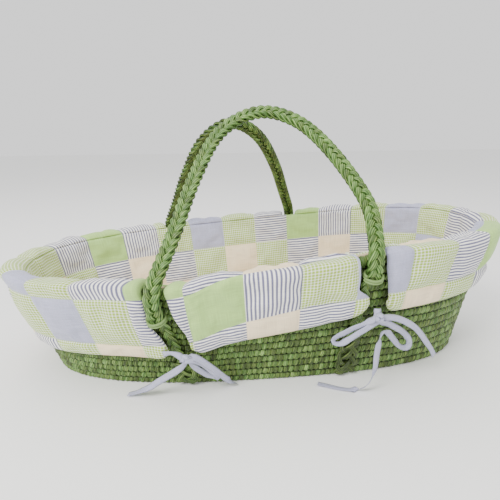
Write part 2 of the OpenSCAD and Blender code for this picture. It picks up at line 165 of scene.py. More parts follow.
# Lights: place, size, power and colour
LIGHTS = {
    "key": ((-1.7, -1.7, 2.2), 1.2, 105, (1.0, 0.98, 0.95)),
    "fill": ((1.9, -1.2, 1.4), 1.8, 8, (1.0, 0.97, 0.92)),
    "top": ((0.0, 0.5, 2.6), 2.0, 22, (1.0, 1.0, 1.0)),
}
LIT_POINT = Vector((0, 0, 0.12))

# A flap's section over the rim: way over the crest, then offset and depth of its face and its back
FOLD = np.array([
    (-0.0214, -0.0166, 0.0084, -0.0090, 0.0084), (-0.0150, -0.0136, 0.0026, -0.0060, 0.0082),
    (-0.0050, -0.0040, 0.0000, -0.0030, 0.0082), (0.0050, 0.0060, 0.0000, 0.0050, 0.0082),
    (0.0150, 0.0156, 0.0030, 0.0091, 0.0092), (0.0245, 0.0186, 0.0120, 0.0106, 0.0140),
])
FOLD_END = 0.0245
DROP_START = 0.0125  # way over the crest at which a flap's drop is measured from
BAND_FACE, BAND_BACK, BAND_TOP, BAND_BOTTOM = -0.0166, -0.0086, 0.0078, 0.0146

# Heights of the patchwork's row seams on the flaps: place along the front, upper seam, lower seam
FRONT_ROWS = [
    (-0.400, 0.037, 0.115), (-0.190, 0.037, 0.117), (-0.098, 0.026, 0.104), (-0.035, 0.006, 0.091),
    (0.058, -0.004, 0.0785), (0.140, -0.008, 0.0815), (0.400, -0.008, 0.0800),
]
REAR_ROWS = (0.024, 0.096)
BAND_ROWS = (0.061, 0.122)  # depths of the two row seams inside

# Fabrics of each column of patches, from low inside to the hem outside: C cream, G green, H and V
# stripes along and across the rim, K check, L lilac. Columns run from the foot end along the front.
FRONT_COLUMNS = "CLKV KKLK HVKC CGHK KHGH HCVC CHKH KKLK HCKC KVHK CLGV HHKC"
END_COLUMNS = "CHKC"
REAR_COLUMNS = "LKGH KLKC HKVK CVKH HGLK KHCG CKVL KLKH HKGC CVHK HGKV KVLC CKCH"
FOOT_COLUMNS = "KKHC"
PATCH = 0.0762
FRONT_SEAM, FRONT_FIRST, FRONT_LAST = -0.1871, -3, 9
REAR_SEAM, REAR_FIRST, REAR_LAST = -0.285, -3, 10

# Ties: the middles of the knots and the routes of the tapes, as in the frame, in millimetres
KNOTS = {"a": (-118, -194, 74), "b": (158, -203, 127)}
TIES = {
    "ribbon_a_tail": [
        (-150, -184, 78), (-141, -186, 80), (-132, -189, 79), (-124, -192, 77), (-117, -193, 72),
        (-121, -197, 66), (-130, -199, 60), (-140, -192, 50), (-151, -182, 38), (-163, -177, 28),
        (-175, -172, 18), (-187, -168, 11), (-199, -165, 5), (-210, -163, 2)],
    "ribbon_a_loop": [
        (-122, -188, 66), (-122, -195, 71), (-117, -197, 74), (-108, -194, 72), (-99, -188, 65),
        (-90, -182, 54), (-81, -177, 42), (-74, -173, 32), (-71, -169, 24), (-74, -167, 21),
        (-81, -169, 25), (-91, -173, 35), (-101, -179, 47), (-109, -185, 59), (-113, -189, 69),
        (-110, -191, 75), (-102, -190, 72), (-91, -186, 61), (-79, -179, 46), (-68, -170, 30),
        (-57, -161, 15), (-46, -152, 3)],
    "ribbon_b_loop": [
        (156, -198, 139), (155, -199, 132), (152, -200, 126), (145, -199, 120), (137, -196, 114),
        (125, -191, 107), (114, -188, 99), (104, -185, 92), (98, -185, 86), (100, -188, 83),
        (108, -191, 84), (119, -194, 91), (131, -195, 100), (143, -197, 109), (154, -198, 118),
        (164, -197, 123), (176, -194, 123), (190, -191, 119), (204, -188, 112), (219, -186, 102),
        (232, -183, 89), (245, -178, 73), (258, -172, 57), (269, -166, 39)],
    "ribbon_b_tail": [
        (164, -192, 133), (160, -198, 131), (157, -203, 127), (158, -203, 123), (164, -200, 118),
        (175, -194, 113), (188, -189, 105), (201, -184, 96), (213, -178, 84), (221, -174, 72),
        (222, -171, 62), (217, -171, 59), (207, -174, 64), (196, -179, 76), (185, -186, 89),
        (175, -192, 100), (167, -199, 104), (162, -201, 97), (161, -200, 81), (161, -197, 62),
        (161, -195, 43), (158, -193, 25), (151, -193, 12), (141, -191, 5), (127, -187, 3),
        (112, -181, 2), (97, -174, 2), (82, -167, 2)],
}


def linear(code):
    """An sRGB hex colour as the linear numbers that a shader takes."""
    parts = [int(code[i:i + 2], 16) / 255 for i in (1, 3, 5)]
    return tuple(p / 12.92 if p <= 0.04045 else ((p + 0.055) / 1.055) ** 2.4 for p in parts)


# ---- sizes and colours that a user may change ----
class BasketSizes(bpy.types.PropertyGroup):
    leaf_width: bpy.props.FloatProperty(
        name="Leaf width", description="Width of one leaf wrapped round a course",
        default=0.0095, min=0.006, max=0.014, unit="LENGTH")
    braid_period: bpy.props.FloatProperty(
        name="Braid period", description="Length in which a strand crosses the braid and comes back",
        default=0.058, min=0.04, max=0.09, unit="LENGTH")
    braid_strands: bpy.props.IntProperty(
        name="Braid strands", description="Number of strands in a handle's braid",
        default=5, min=3, max=7)
    ribbon_width: bpy.props.FloatProperty(
        name="Ribbon width", description="Width of the flat tape in the ties",
        default=0.010, min=0.006, max=0.014, unit="LENGTH")
    quilt_crown: bpy.props.FloatProperty(
        name="Quilt crown", description="How far a patch stands up between its seams",
        default=0.0058, min=0.0, max=0.008, unit="LENGTH")
    check_pitch: bpy.props.FloatProperty(
        name="Check pitch", description="Distance from one check of the gingham to the next",
        default=0.0044, min=0.002, max=0.01, unit="LENGTH")
    stripe_pitch: bpy.props.FloatProperty(
        name="Stripe pitch", description="Distance from one stripe of the ticking to the next",
        default=0.0056, min=0.002, max=0.01, unit="LENGTH")


def colour_property(name, description, code):
    return bpy.props.FloatVectorProperty(
        name=name, description=description, subtype="COLOR", size=3, min=0, max=1, default=linear(code))


class BasketColours(bpy.types.PropertyGroup):
    leaf_dark: colour_property("Dark leaf", "Dye where it is deepest", "#1f3010")
    leaf_mid: colour_property("Leaf", "Usual colour of the dyed leaf", "#4b672a")
    leaf_light: colour_property("Light leaf", "Ridges where the dye took least", "#a0b564")
    green: colour_property("Green cotton", "Plain green patches", "#a9cd79")
    check: colour_property("Check thread", "Coloured thread of the gingham", "#98b636")
    lilac: colour_property("Lilac chambray", "Chambray patches and ties", "#9d9fbe")
    stripe: colour_property("Stripe thread", "Dark thread of the ticking", "#6f6e8a")
    cream: colour_property("Cream cotton", "Plain cream patches and sheet", "#efdcb9")
    white: colour_property("White thread", "White thread of check and ticking", "#f7f6f1")


# ---- vectors, curves and the wall's surface ----
def outline(shape, angle, off=0.0):
    half_length, half_width, squareness = shape
    c, s = np.cos(angle), np.sin(angle)
    reach = (np.abs(c) ** squareness + np.abs(s) ** squareness) ** (-1 / squareness)
    return np.stack([(half_length + off) * c * reach, (half_width + off) * s * reach], -1)


def bell(x, place):
    height, centre, width = place
    return height * np.exp(-(((x - centre) / width) ** 2))


def crest(angle):
    x, y = np.moveaxis(outline(RIM, angle), -1, 0)
    front = np.where(y < 0, bell(x, SWELL) - bell(x, DIP), 0)
    return CREST_HEIGHT + CREST_SLOPE * x + CREST_BOW * x * x + front


def wall(angle, z, off=0.0):
    """Points of the wall's middle surface at an angle and a height, off metres outside it."""
    angle, z, off = np.broadcast_arrays(angle, z, off)
    share = (z / crest(angle))[..., None]
    flat = (outline(BASE, angle, off) + (BASE_SHIFT, 0)) * (1 - share) + outline(RIM, angle, off) * share
    return np.concatenate([flat, z[..., None]], -1)


def angle_at(x, side):
    k = np.asarray(x) / RIM[0]
    return side * np.arctan2((1 - np.abs(k) ** RIM[2]) ** (1 / RIM[2]), k)


# Way round the rim from the middle of the front, towards the head end, against the angle
ANGLES = np.linspace(-math.pi / 2, 1.5 * math.pi, 4001)
RIM_LINE = outline(RIM, ANGLES)
WAYS = np.concatenate([[0], np.cumsum(np.linalg.norm(np.diff(RIM_LINE, axis=0), axis=1))])
ROUND = WAYS[-1]


def way_of(angle):
    turns = np.floor((np.asarray(angle) + math.pi / 2) / TURN)
    return np.interp(angle - turns * TURN, ANGLES, WAYS) + turns * ROUND


def angle_of(way):
    turns = np.floor(np.asarray(way) / ROUND)
    return np.interp(way - turns * ROUND, WAYS, ANGLES) + turns * TURN


def unit(v):
    v = np.asarray(v, float)
    return v / np.linalg.norm(v, axis=-1, keepdims=True)


def smooth(k):
    k = np.clip(k, 0, 1)
    return k * k * (3 - 2 * k)


def through(points, steps):
    """A smooth line through points, with that many steps between each two."""
    p = np.asarray(points, float)
    p = np.concatenate([[2 * p[0] - p[1]], p, [2 * p[-1] - p[-2]]])
    line = []
    for i in range(1, len(p) - 2):
        a, b, c, d = p[i - 1:i + 3]
        for s in np.arange(steps) / steps:
            line.append(0.5 * (2 * b + (c - a) * s + (2 * a - 5 * b + 4 * c - d) * s ** 2
                               + (3 * b - a - 3 * c + d) * s ** 3))
    return np.array(line + [p[-2]])


def evenly(line, spacing):
    """The same line with points an even distance apart."""
    line = np.asarray(line, float)
    far = np.concatenate([[0], np.cumsum(np.linalg.norm(np.diff(line, axis=0), axis=1))])
    at = np.linspace(0, far[-1], max(2, round(far[-1] / spacing) + 1))
    return np.stack([np.interp(at, far, line[:, i]) for i in range(line.shape[1])], -1)


def softened(line, passes):
    """The line with its corners eased and its ends kept."""
    line = np.array(line, float)
    for _ in range(passes):
        line[1:-1] = 0.25 * line[:-2] + 0.5 * line[1:-1] + 0.25 * line[2:]
    return line


# ---- building blocks: objects, node trees and node-made meshes ----
def add(tree, kind, inputs=None, **settings):
    """Adds one node. Settings are its properties; inputs set or link its sockets by name or number."""
    made = tree.nodes.new(kind)
    for key, value in settings.items():
        if key == "stops":
            ramp = made.color_ramp
            while len(ramp.elements) < len(value):
                ramp.elements.new(0.5)
            for element, (place, colour) in zip(ramp.elements, value):
                element.position = place
                element.color = (*colour, 1)
        else:
            setattr(made, key, value)
    for key, value in (inputs or {}).items():
        if isinstance(value, bpy.types.NodeSocket):
            tree.links.new(value, made.inputs[key])
        else:
            made.inputs[key].default_value = value
    return made


def calc(tree, operation, *values, kind=""):
    """Adds a math node, or a vector math node, and gives its result."""
    return add(tree, f"ShaderNode{kind}Math", dict(enumerate(values)), operation=operation).outputs[0]


def mesh_from(name, points, faces=(), edges=()):
    mesh = bpy.data.meshes.new(name)
    mesh.from_pydata(np.asarray(points, float).tolist(), [list(e) for e in edges], [list(f) for f in faces])
    return mesh


def piece_from(name, mesh):
    made = bpy.data.objects.new(name, mesh)
    bpy.context.scene.collection.objects.link(made)
    return made


def set_attribute(mesh, name, kind, values):
    """Writes one attribute on a mesh's points."""
    field = "vector" if kind == "FLOAT_VECTOR" else "value"
    attribute = mesh.attributes.new(name, kind, "POINT")
    attribute.data.foreach_set(field, np.asarray(values, np.float32).ravel())


def cloth_coordinates(mesh, spots):
    """Gives each face corner its place on the flat cloth, in metres."""
    sheet = mesh.uv_layers.new(name="cloth")
    sheet.data.foreach_set("uv", np.array(spots, np.float32).ravel())


def shade_smooth(mesh):
    mesh.polygons.foreach_set("use_smooth", [True] * len(mesh.polygons))
    mesh.update()


def path_mesh(name, line, closed=False, **attributes):
    """A line of edges that carries its own directions and sizes for a node tree to read."""
    count = len(line)
    edges = [(i, (i + 1) % count) for i in range(count if closed else count - 1)]
    mesh = mesh_from(name, line, edges=edges)
    for key, values in attributes.items():
        kind = "FLOAT_VECTOR" if np.ndim(values) == 2 else "FLOAT"
        set_attribute(mesh, key, kind, values)
    return mesh


def settled(piece):
    """A plain mesh of a piece as its modifiers leave it."""
    depsgraph = bpy.context.evaluated_depsgraph_get()
    return bpy.data.meshes.new_from_object(
        piece.evaluated_get(depsgraph), preserve_all_data_layers=True, depsgraph=depsgraph)


def grown(name, mesh, tree, **values):
    """The plain mesh that a node tree makes from a mesh, with the tree's inputs given by name."""
    host = piece_from(name + "_host", mesh)
    modifier = host.modifiers.new("Nodes", "NODES")
    modifier.node_group = tree
    for item in tree.interface.items_tree:
        if item.item_type == "SOCKET" and item.in_out == "INPUT" and item.name in values:
            modifier[item.identifier] = values[item.name]
    result = settled(host)
    result.name = name
    bpy.data.objects.remove(host)
    if not result.polygons:
        raise RuntimeError(f"the node tree {tree.name} made no faces for {name}")
    shade_smooth(result)
    return result


def joined(name, meshes):
    """One mesh from several, each keeping its materials and attributes."""
    bpy.ops.object.select_all(action="DESELECT")
    parts = [piece_from(f"{name}_{i}", mesh) for i, mesh in enumerate(meshes)]
    for part in parts:
        part.select_set(True)
    bpy.context.view_layer.objects.active = parts[0]
    bpy.ops.object.join()
    bpy.ops.object.select_all(action="DESELECT")
    whole = parts[0]
    whole.name = name
    whole.data.name = name
    return whole


def tree_with(name, sockets):
    """A geometry node tree with the given inputs, and its input and output nodes."""
    tree = bpy.data.node_groups.new(name, "GeometryNodeTree")
    tree.interface.new_socket(name="Geometry", in_out="INPUT", socket_type="NodeSocketGeometry")
    for label, kind, default in sockets:
        item = tree.interface.new_socket(name=label, in_out="INPUT", socket_type="NodeSocket" + kind)
        if default is not None:
            item.default_value = default
    tree.interface.new_socket(name="Geometry", in_out="OUTPUT", socket_type="NodeSocketGeometry")
    return tree, add(tree, "NodeGroupInput").outputs, add(tree, "NodeGroupOutput")


def named(tree, name, kind):
    made = add(tree, "GeometryNodeInputNamedAttribute", data_type=kind)
    made.inputs["Name"].default_value = name
    return made.outputs["Attribute"]


def stored(tree, source, name, value, domain):
    """Adds a node that stores a value on its source's geometry."""
    return add(tree, "GeometryNodeStoreNamedAttribute",
               {"Geometry": source.outputs[0], "Name": name, "Value": value},
               data_type="FLOAT", domain=domain)


def dress(tree, source, given, end):
    """Ends a tree with real geometry and its material."""
    real = add(tree, "GeometryNodeRealizeInstances", {"Geometry": source.outputs[0]})
    dressed = add(tree, "GeometryNodeSetMaterial",
                  {"Geometry": real.outputs[0], "Material": given["Material"]})
    tree.links.new(dressed.outputs[0], end.inputs[0])


def wrap_tree():
    """Leaves wrapped side by side round a course, following its line."""
    if "leaf_wraps" in bpy.data.node_groups:
        return bpy.data.node_groups["leaf_wraps"]
    tree, given, end = tree_with("leaf_wraps", [
        ("Leaf", "Object", None), ("Spacing", "Float", 0.0085), ("Slant", "Float", 0.3),
        ("Slant spread", "Float", 0.14), ("Size spread", "Float", 0.07), ("Seed", "Int", 0),
        ("Material", "Material", None)])

    def random(low, high, seed):
        return add(tree, "FunctionNodeRandomValue", {"Min": low, "Max": high, "Seed": seed},
                   data_type="FLOAT").outputs["Value"]

    curve = add(tree, "GeometryNodeMeshToCurve", {"Mesh": given["Geometry"]})
    spaced = add(tree, "GeometryNodeResampleCurve", {"Curve": curve.outputs[0], "Length": given["Spacing"]},
                 mode="LENGTH")
    leaf = add(tree, "GeometryNodeObjectInfo", {"Object": given["Leaf"]})
    turned = add(tree, "FunctionNodeAxesToRotation", {
        "Primary Axis": add(tree, "GeometryNodeInputTangent").outputs[0],
        "Secondary Axis": named(tree, "wall_up", "FLOAT_VECTOR")}, primary_axis="X", secondary_axis="Z")
    slant = random(calc(tree, "SUBTRACT", given["Slant"], given["Slant spread"]),
                   calc(tree, "ADD", given["Slant"], given["Slant spread"]), given["Seed"])
    lean = add(tree, "ShaderNodeCombineXYZ", {"Y": slant})
    lean_turn = add(tree, "FunctionNodeEulerToRotation", {0: lean.outputs[0]})
    turned = add(tree, "FunctionNodeRotateRotation",
                 {"Rotation": turned.outputs[0], "Rotate By": lean_turn.outputs[0]}, rotation_space="LOCAL")
    size = random(calc(tree, "SUBTRACT", 1.0, given["Size spread"]),
                  calc(tree, "ADD", 1.0, given["Size spread"]), calc(tree, "ADD", given["Seed"], 100.0))
    scale = add(tree, "ShaderNodeCombineXYZ",
                {"X": 1.0, "Y": size, "Z": named(tree, "wrap_height", "FLOAT")})
    leaves = add(tree, "GeometryNodeInstanceOnPoints",
                 {"Points": spaced.outputs[0], "Instance": leaf.outputs["Geometry"],
                  "Rotation": turned.outputs[0], "Scale": scale.outputs[0]})
    tone = random(0.0, 1.0, calc(tree, "ADD", given["Seed"], 200.0))
    dress(tree, stored(tree, leaves, "leaf_tone", tone, "INSTANCE"), given, end)
    return tree


def plait_tree():
    """A flat or round braid: strands that cross its width once while they cross its depth twice."""
    if "plait" in bpy.data.node_groups:
        return bpy.data.node_groups["plait"]
    tree, given, end = tree_with("plait", [
        ("Profile", "Object", None), ("Strands", "Int", 5), ("Half width", "Float", 0.007),
        ("Half depth", "Float", 0.004), ("Period", "Float", 0.06), ("Ring spacing", "Float", 0.004),
        ("Seed", "Int", 0), ("Material", "Material", None)])
    curve = add(tree, "GeometryNodeMeshToCurve", {"Mesh": given["Geometry"]})
    spaced = add(tree, "GeometryNodeResampleCurve",
                 {"Curve": curve.outputs[0], "Length": given["Ring spacing"]}, mode="LENGTH")
    copies = add(tree, "GeometryNodeDuplicateElements",
                 {"Geometry": spaced.outputs[0], "Amount": given["Strands"]}, domain="SPLINE")
    numbered = stored(tree, copies, "strand", copies.outputs["Duplicate Index"], "POINT")
    strand = named(tree, "strand", "FLOAT")
    tangent = add(tree, "GeometryNodeInputTangent").outputs[0]
    out = named(tree, "braid_face", "FLOAT_VECTOR")
    side = calc(tree, "NORMALIZE", calc(tree, "CROSS_PRODUCT", tangent, out, kind="Vector"), kind="Vector")
    along = add(tree, "GeometryNodeSplineParameter").outputs["Length"]
    turns = calc(tree, "ADD", calc(tree, "DIVIDE", along, given["Period"]),
                 calc(tree, "DIVIDE", strand, given["Strands"]))
    phase = calc(tree, "MULTIPLY", turns, TURN)
    across = calc(tree, "MULTIPLY", calc(tree, "SINE", phase), given["Half width"])
    twice = calc(tree, "MULTIPLY", phase, 2.0)
    deep = calc(tree, "MULTIPLY", calc(tree, "SINE", twice), given["Half depth"])
    ways = [add(tree, "ShaderNodeVectorMath", {0: way, "Scale": far}, operation="SCALE").outputs[0]
            for way, far in ((side, across), (out, deep))]
    moved = add(tree, "GeometryNodeSetPosition",
                {"Geometry": numbered.outputs[0], "Offset": calc(tree, "ADD", *ways, kind="Vector")})
    faced = add(tree, "GeometryNodeSetCurveNormal", {"Curve": moved.outputs[0], "Normal": out}, mode="FREE")
    tone = add(tree, "FunctionNodeRandomValue", {"ID": calc(tree, "ADD", strand, given["Seed"])},
               data_type="FLOAT")
    toned = stored(tree, faced, "leaf_tone", tone.outputs["Value"], "POINT")
    marked = stored(tree, toned, "leaf_along", along, "POINT")
    shape = add(tree, "GeometryNodeObjectInfo", {"Object": given["Profile"]})
    profile = add(tree, "GeometryNodeMeshToCurve", {"Mesh": shape.outputs["Geometry"]})
    swept = add(tree, "GeometryNodeCurveToMesh",
                {"Curve": marked.outputs[0], "Profile Curve": profile.outputs[0], "Fill Caps": True})
    dress(tree, swept, given, end)
    return tree


def plaited(name, line, face, profile, finish, strands=1, half_width=0.0, half_depth=0.0, period=1.0, *,
            spacing, seed):
    """A braid along a line, or one strand along it, as a plain mesh."""
    path = path_mesh(f"{name}_path", line, braid_face=face)
    return piece_from(name, grown(name, path, plait_tree(), Profile=profile, Strands=strands, Period=period,
                                  Seed=seed, Material=finish, **{
                                      "Half width": half_width, "Half depth": half_depth,
                                      "Ring spacing": spacing}))


def strand_profile(width, thickness, ridges):
    """A helper outline of one strand: leaves lie side by side in it as ridges."""
    name = f"profile_{width * 1e4:.0f}_{thickness * 1e4:.0f}_{ridges}"
    if name in bpy.data.objects:
        return bpy.data.objects[name]
    count = 8 * ridges if ridges > 1 else 10
    points, across = [], []
    for i in range(count):
        angle = TURN * i / count
        y = math.cos(angle)
        ridge = 0.68 + 0.32 * abs(math.cos(y * ridges * math.pi / 2 + (ridges % 2 - 1) * math.pi / 2))
        rounded = math.copysign(abs(math.sin(angle)) ** 0.7, math.sin(angle))
        points.append((rounded * thickness / 2 * ridge, y * width / 2, 0))
        across.append(y * width / 2)
    mesh = path_mesh(name, np.array(points), closed=True, leaf_across=np.array(across))
    return hidden_helper(name, mesh)


def hidden_helper(name, mesh):
    """An object that only a node tree reads; it is removed before the end."""
    made = piece_from(name, mesh)
    made.hide_render = True
    made["helper"] = True
    return made


def leaf_ring(name, width, depth, around, stations):
    """One leaf wrapped once round a course: its height is 1, for the tree to scale."""
    if name in bpy.data.objects:
        return bpy.data.objects[name]
    swell = np.interp(np.linspace(-1, 1, stations), [-1, -0.6, 0.1, 0.7, 1], [0.70, 0.98, 1.08, 1.00, 0.68])
    points, along, across = [], [], []
    for k, x in enumerate(np.linspace(-width / 2, width / 2, stations)):
        for i in range(around):
            angle = TURN * (i + 0.5) / around
            reach = (abs(math.cos(angle)) ** 2.6 + abs(math.sin(angle)) ** 2.6) ** (-1 / 2.6)
            points.append((x, math.cos(angle) * reach * depth / 2 * swell[k],
                           math.sin(angle) * reach * 0.5 * (0.78 + 0.22 * swell[k])))
            along.append(angle * 0.007)
            across.append(x)
    faces = [(k * around + i, k * around + (i + 1) % around,
              (k + 1) * around + (i + 1) % around, (k + 1) * around + i)
             for k in range(stations - 1) for i in range(around)]
    faces += [list(range(around))[::-1], [(stations - 1) * around + i for i in range(around)]]
    mesh = mesh_from(name, points, [tuple(f)[::-1] for f in faces])
    set_attribute(mesh, "leaf_along", "FLOAT", along)
    set_attribute(mesh, "leaf_across", "FLOAT", across)
    tidy_normals(mesh)
    return hidden_helper(name, mesh)


def tidy_normals(mesh):
    """Turns a closed mesh's faces outwards."""
    made = bmesh.new()
    made.from_mesh(mesh)
    bmesh.ops.recalc_face_normals(made, faces=made.faces)
    made.to_mesh(mesh)
    made.free()
    mesh.update()


# ---- materials ----
def principled(name, settings):
    """A new material, its tree and its shader, with constants set on the shader's own sockets."""
    made = bpy.data.materials.new(name)
    made.use_nodes = True
    shader = made.node_tree.nodes["Principled BSDF"]
    for socket, value in settings.items():
        shader.inputs[socket].default_value = value
    return made, made.node_tree, shader


def cloudy(tree, place, long, wide, detail):
    """Noise drawn out to that length and width, in metres, along the first two coordinates."""
    at = calc(tree, "MULTIPLY", place, (1 / long, 1 / wide, 1), kind="Vector")
    return add(tree, "ShaderNodeTexNoise", {"Vector": at, "Scale": 1.0, "Detail": detail}).outputs["Fac"]


def roughen(tree, shader, height, distance, strength):
    bump = add(tree, "ShaderNodeBump", {"Height": height, "Distance": distance, "Strength": strength})
    tree.links.new(bump.outputs[0], shader.inputs["Normal"])


def dyed_leaf(name, context, shift=0.0, lines=0.10):
    """Dyed maize leaf, twisted or wrapped: satin, ribbed by its own fibres, patchy where dye pooled, with
    painted shade in the grooves between leaves.
    """
    if name in bpy.data.materials:
        return bpy.data.materials[name]
    colours = context.scene.basket_colours
    made, tree, shader = principled(name, {"Roughness": 0.5, "Specular IOR Level": 0.4})
    along, across, tone = [
        add(tree, "ShaderNodeAttribute", attribute_name=key).outputs["Fac"]
        for key in ("leaf_along", "leaf_across", "leaf_tone")]
    apart = calc(tree, "MULTIPLY", tone, 37.0)
    place = add(tree, "ShaderNodeCombineXYZ", {0: along, 1: across, 2: apart}).outputs[0]
    # Ribs of a maize leaf lie about 1.4 mm apart and run 30 mm or more before they change
    ribs = cloudy(tree, place, 0.03, 0.0014, 3.0)
    # Dye pools in patches about 12 mm across
    pools = cloudy(tree, place, 0.012, 0.012, 2.0)
    # Leaves that lie side by side in a strand are about 2.8 mm wide: painted shade darkens the grooves
    # where they meet and painted light brightens their ridges, and the same painted lines cross each wrap
    wave = calc(tree, "COSINE", calc(tree, "MULTIPLY", across, TURN / 0.0028))
    level = calc(tree, "MULTIPLY_ADD", ribs, 1.25, -0.52 + shift)
    for part, share in ((wave, lines), (tone, 0.34), (pools, 0.4)):
        level = calc(tree, "MULTIPLY_ADD", part, share, level)
    colour = add(tree, "ShaderNodeValToRGB", {"Fac": level}, stops=[
        (0.12, colours.leaf_dark), (0.50, colours.leaf_mid), (0.98, colours.leaf_light)])
    # Some leaves took the dye more blue and some more yellow
    hue = add(tree, "ShaderNodeMapRange",
              {"Value": apart, "From Max": 37.0, "To Min": 0.475, "To Max": 0.525})
    tint = add(tree, "ShaderNodeHueSaturation", {"Hue": hue.outputs[0], "Color": colour.outputs[0]})
    tree.links.new(tint.outputs[0], shader.inputs["Base Color"])
    roughen(tree, shader, ribs, 0.0007, 0.8)
    return made


def braided_leaf(context):
    # Deeper painted shade in the grooves between the leaves of each strand
    return dyed_leaf("braided_maize_leaf", context, shift=-0.06, lines=0.17)


def cotton(name, ground, thread=None, across=0.0, along=0.0, share=0.0):
    """Woven cotton with stripes across or along the rim, both for a check, or neither for plain."""
    if name in bpy.data.materials:
        return bpy.data.materials[name]
    made, tree, shader = principled(name, {
        "Roughness": 0.86, "Specular IOR Level": 0.25, "Sheen Weight": 0.18, "Sheen Roughness": 0.5})
    at = add(tree, "ShaderNodeUVMap", uv_map="cloth").outputs[0]
    split = add(tree, "ShaderNodeSeparateXYZ", {0: at}).outputs
    # Slub of the yarn: threads that run both ways, drawn coarser than real ones so that they show
    slub = calc(tree, "ADD", cloudy(tree, at, 0.03, YARN, 1.0), cloudy(tree, at, YARN, 0.03, 1.0))
    slub = add(tree, "ShaderNodeMapRange", {"Value": slub, "From Min": 0.7, "From Max": 1.3,
                                           "To Min": 0.86, "To Max": 1.08}).outputs[0]
    bands = []
    for pitch, way in ((across, split[0]), (along, split[1])):
        if pitch:
            wave = calc(tree, "SINE", calc(tree, "MULTIPLY", way, TURN / pitch))
            bands.append(add(tree, "ShaderNodeMapRange", {
                "Value": wave, "From Min": share - 0.25, "From Max": share + 0.25}).outputs[0])
    toned = add(tree, "ShaderNodeHueSaturation", {"Value": slub, "Color": (*ground, 1)})
    if bands:
        level = calc(tree, "MULTIPLY", calc(tree, "ADD", *bands), 0.5) if len(bands) == 2 else bands[0]
        colour = add(tree, "ShaderNodeMix", {"Factor": level, 6: (*ground, 1), 7: (*thread, 1)},
                     data_type="RGBA").outputs[2]
        tree.links.new(colour, toned.inputs["Color"])
    tree.links.new(toned.outputs[0], shader.inputs["Base Color"])
    roughen(tree, shader, slub, 0.0012, 0.35)
    return made


def fabrics(context):
    """The patchwork's cottons by letter, and the plain cotton of the back."""
    c, s = context.scene.basket_colours, context.scene.basket_sizes
    return {
        "C": cotton("cream_cotton_lawn", c.cream),
        "G": cotton("green_cotton_lawn", c.green),
        "L": cotton("lilac_chambray", c.lilac, c.white, across=0.0013, along=0.0013, share=0.9),
        "K": cotton("green_gingham", c.white, c.check, across=s.check_pitch, along=s.check_pitch,
                    share=-0.5),
        "V": cotton("ticking_across", c.white, c.stripe, across=s.stripe_pitch, share=0.0),
        "H": cotton("ticking_along", c.white, c.stripe, along=s.stripe_pitch * 0.88, share=-0.15),
        "back": cotton("calico_back", c.cream),
    }


# ---- finishing a piece ----
def keep(piece, bodies, slot, *nodes):
    """Puts a piece on its body and lets it stand for its CAD nodes; its slot is not used."""
    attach(piece, bodies)
    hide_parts(*nodes)
    return piece


def thin_core(line_inner, line_outer, name):
    """A closed hoop of rectangular section between two stacks of lines."""
    count = len(line_inner[0])
    rings = [line_inner[0], line_outer[0], line_outer[1], line_inner[1]]
    points = np.concatenate(rings)
    faces = [(a * count + i, a * count + (i + 1) % count, b * count + (i + 1) % count, b * count + i)
             for a, b in ((0, 1), (1, 2), (2, 3), (3, 0)) for i in range(count)]
    mesh = mesh_from(name, points, faces)
    for key in ("leaf_along", "leaf_across", "leaf_tone"):
        set_attribute(mesh, key, "FLOAT", [0.0] * len(points))
    tidy_normals(mesh)
    return mesh


# ---- stage ----
class BASKET_OT_stage(bpy.types.Operator):
    """Adds the camera, a pale floor and soft studio lights"""
    bl_idname = "basket.stage"
    bl_label = "Stage"

    def execute(self, context):
        yaw, pitch, roll = math.radians(4.94), math.radians(15.24), math.radians(-0.71)
        forward = Vector((math.sin(yaw) * math.cos(pitch), math.cos(yaw) * math.cos(pitch),
                          -math.sin(pitch)))
        level = Vector((math.cos(yaw), -math.sin(yaw), 0))
        above = level.cross(forward)
        right = math.cos(roll) * level + math.sin(roll) * above
        up = math.cos(roll) * above - math.sin(roll) * level
        data = bpy.data.cameras.new("camera")
        data.sensor_width, data.lens = 36, 28.54
        camera = bpy.data.objects.new("camera", data)
        camera.matrix_world = Matrix((right, up, -forward)).transposed().to_4x4()
        camera.location = (-0.068, -0.7007, 0.3694)
        context.scene.collection.objects.link(camera)
        context.scene.camera = camera

        size = 14.0
        floor = piece_from("floor", mesh_from("floor", [
            (-size, -size, -0.0004), (size, -size, -0.0004), (size, size, -0.0004), (-size, size, -0.0004)],
            [(0, 1, 2, 3)]))
        paper, _, shader = principled("white_studio_paper", {"Roughness": 0.9, "Specular IOR Level": 0.1})
        shader.inputs["Base Color"].default_value = (0.93, 0.93, 0.92, 1)
        floor.data.materials.append(paper)

        world = bpy.data.worlds.new("studio")
        world.use_nodes = True
        sky = world.node_tree.nodes["Background"]
        sky.inputs["Color"].default_value = (1.0, 1.0, 1.0, 1)
        sky.inputs["Strength"].default_value = 1.25
        context.scene.world = world
        for name, (at, size, power, tint) in LIGHTS.items():
            data = bpy.data.lights.new(name, "AREA")
            data.size, data.energy, data.color = size, power, tint
            lamp = bpy.data.objects.new(name, data)
            lamp.location = at
            lamp.rotation_mode = "QUATERNION"
            lamp.rotation_quaternion = (LIT_POINT - Vector(at)).to_track_quat("-Z", "Y")
            context.scene.collection.objects.link(lamp)
        return {"FINISHED"}


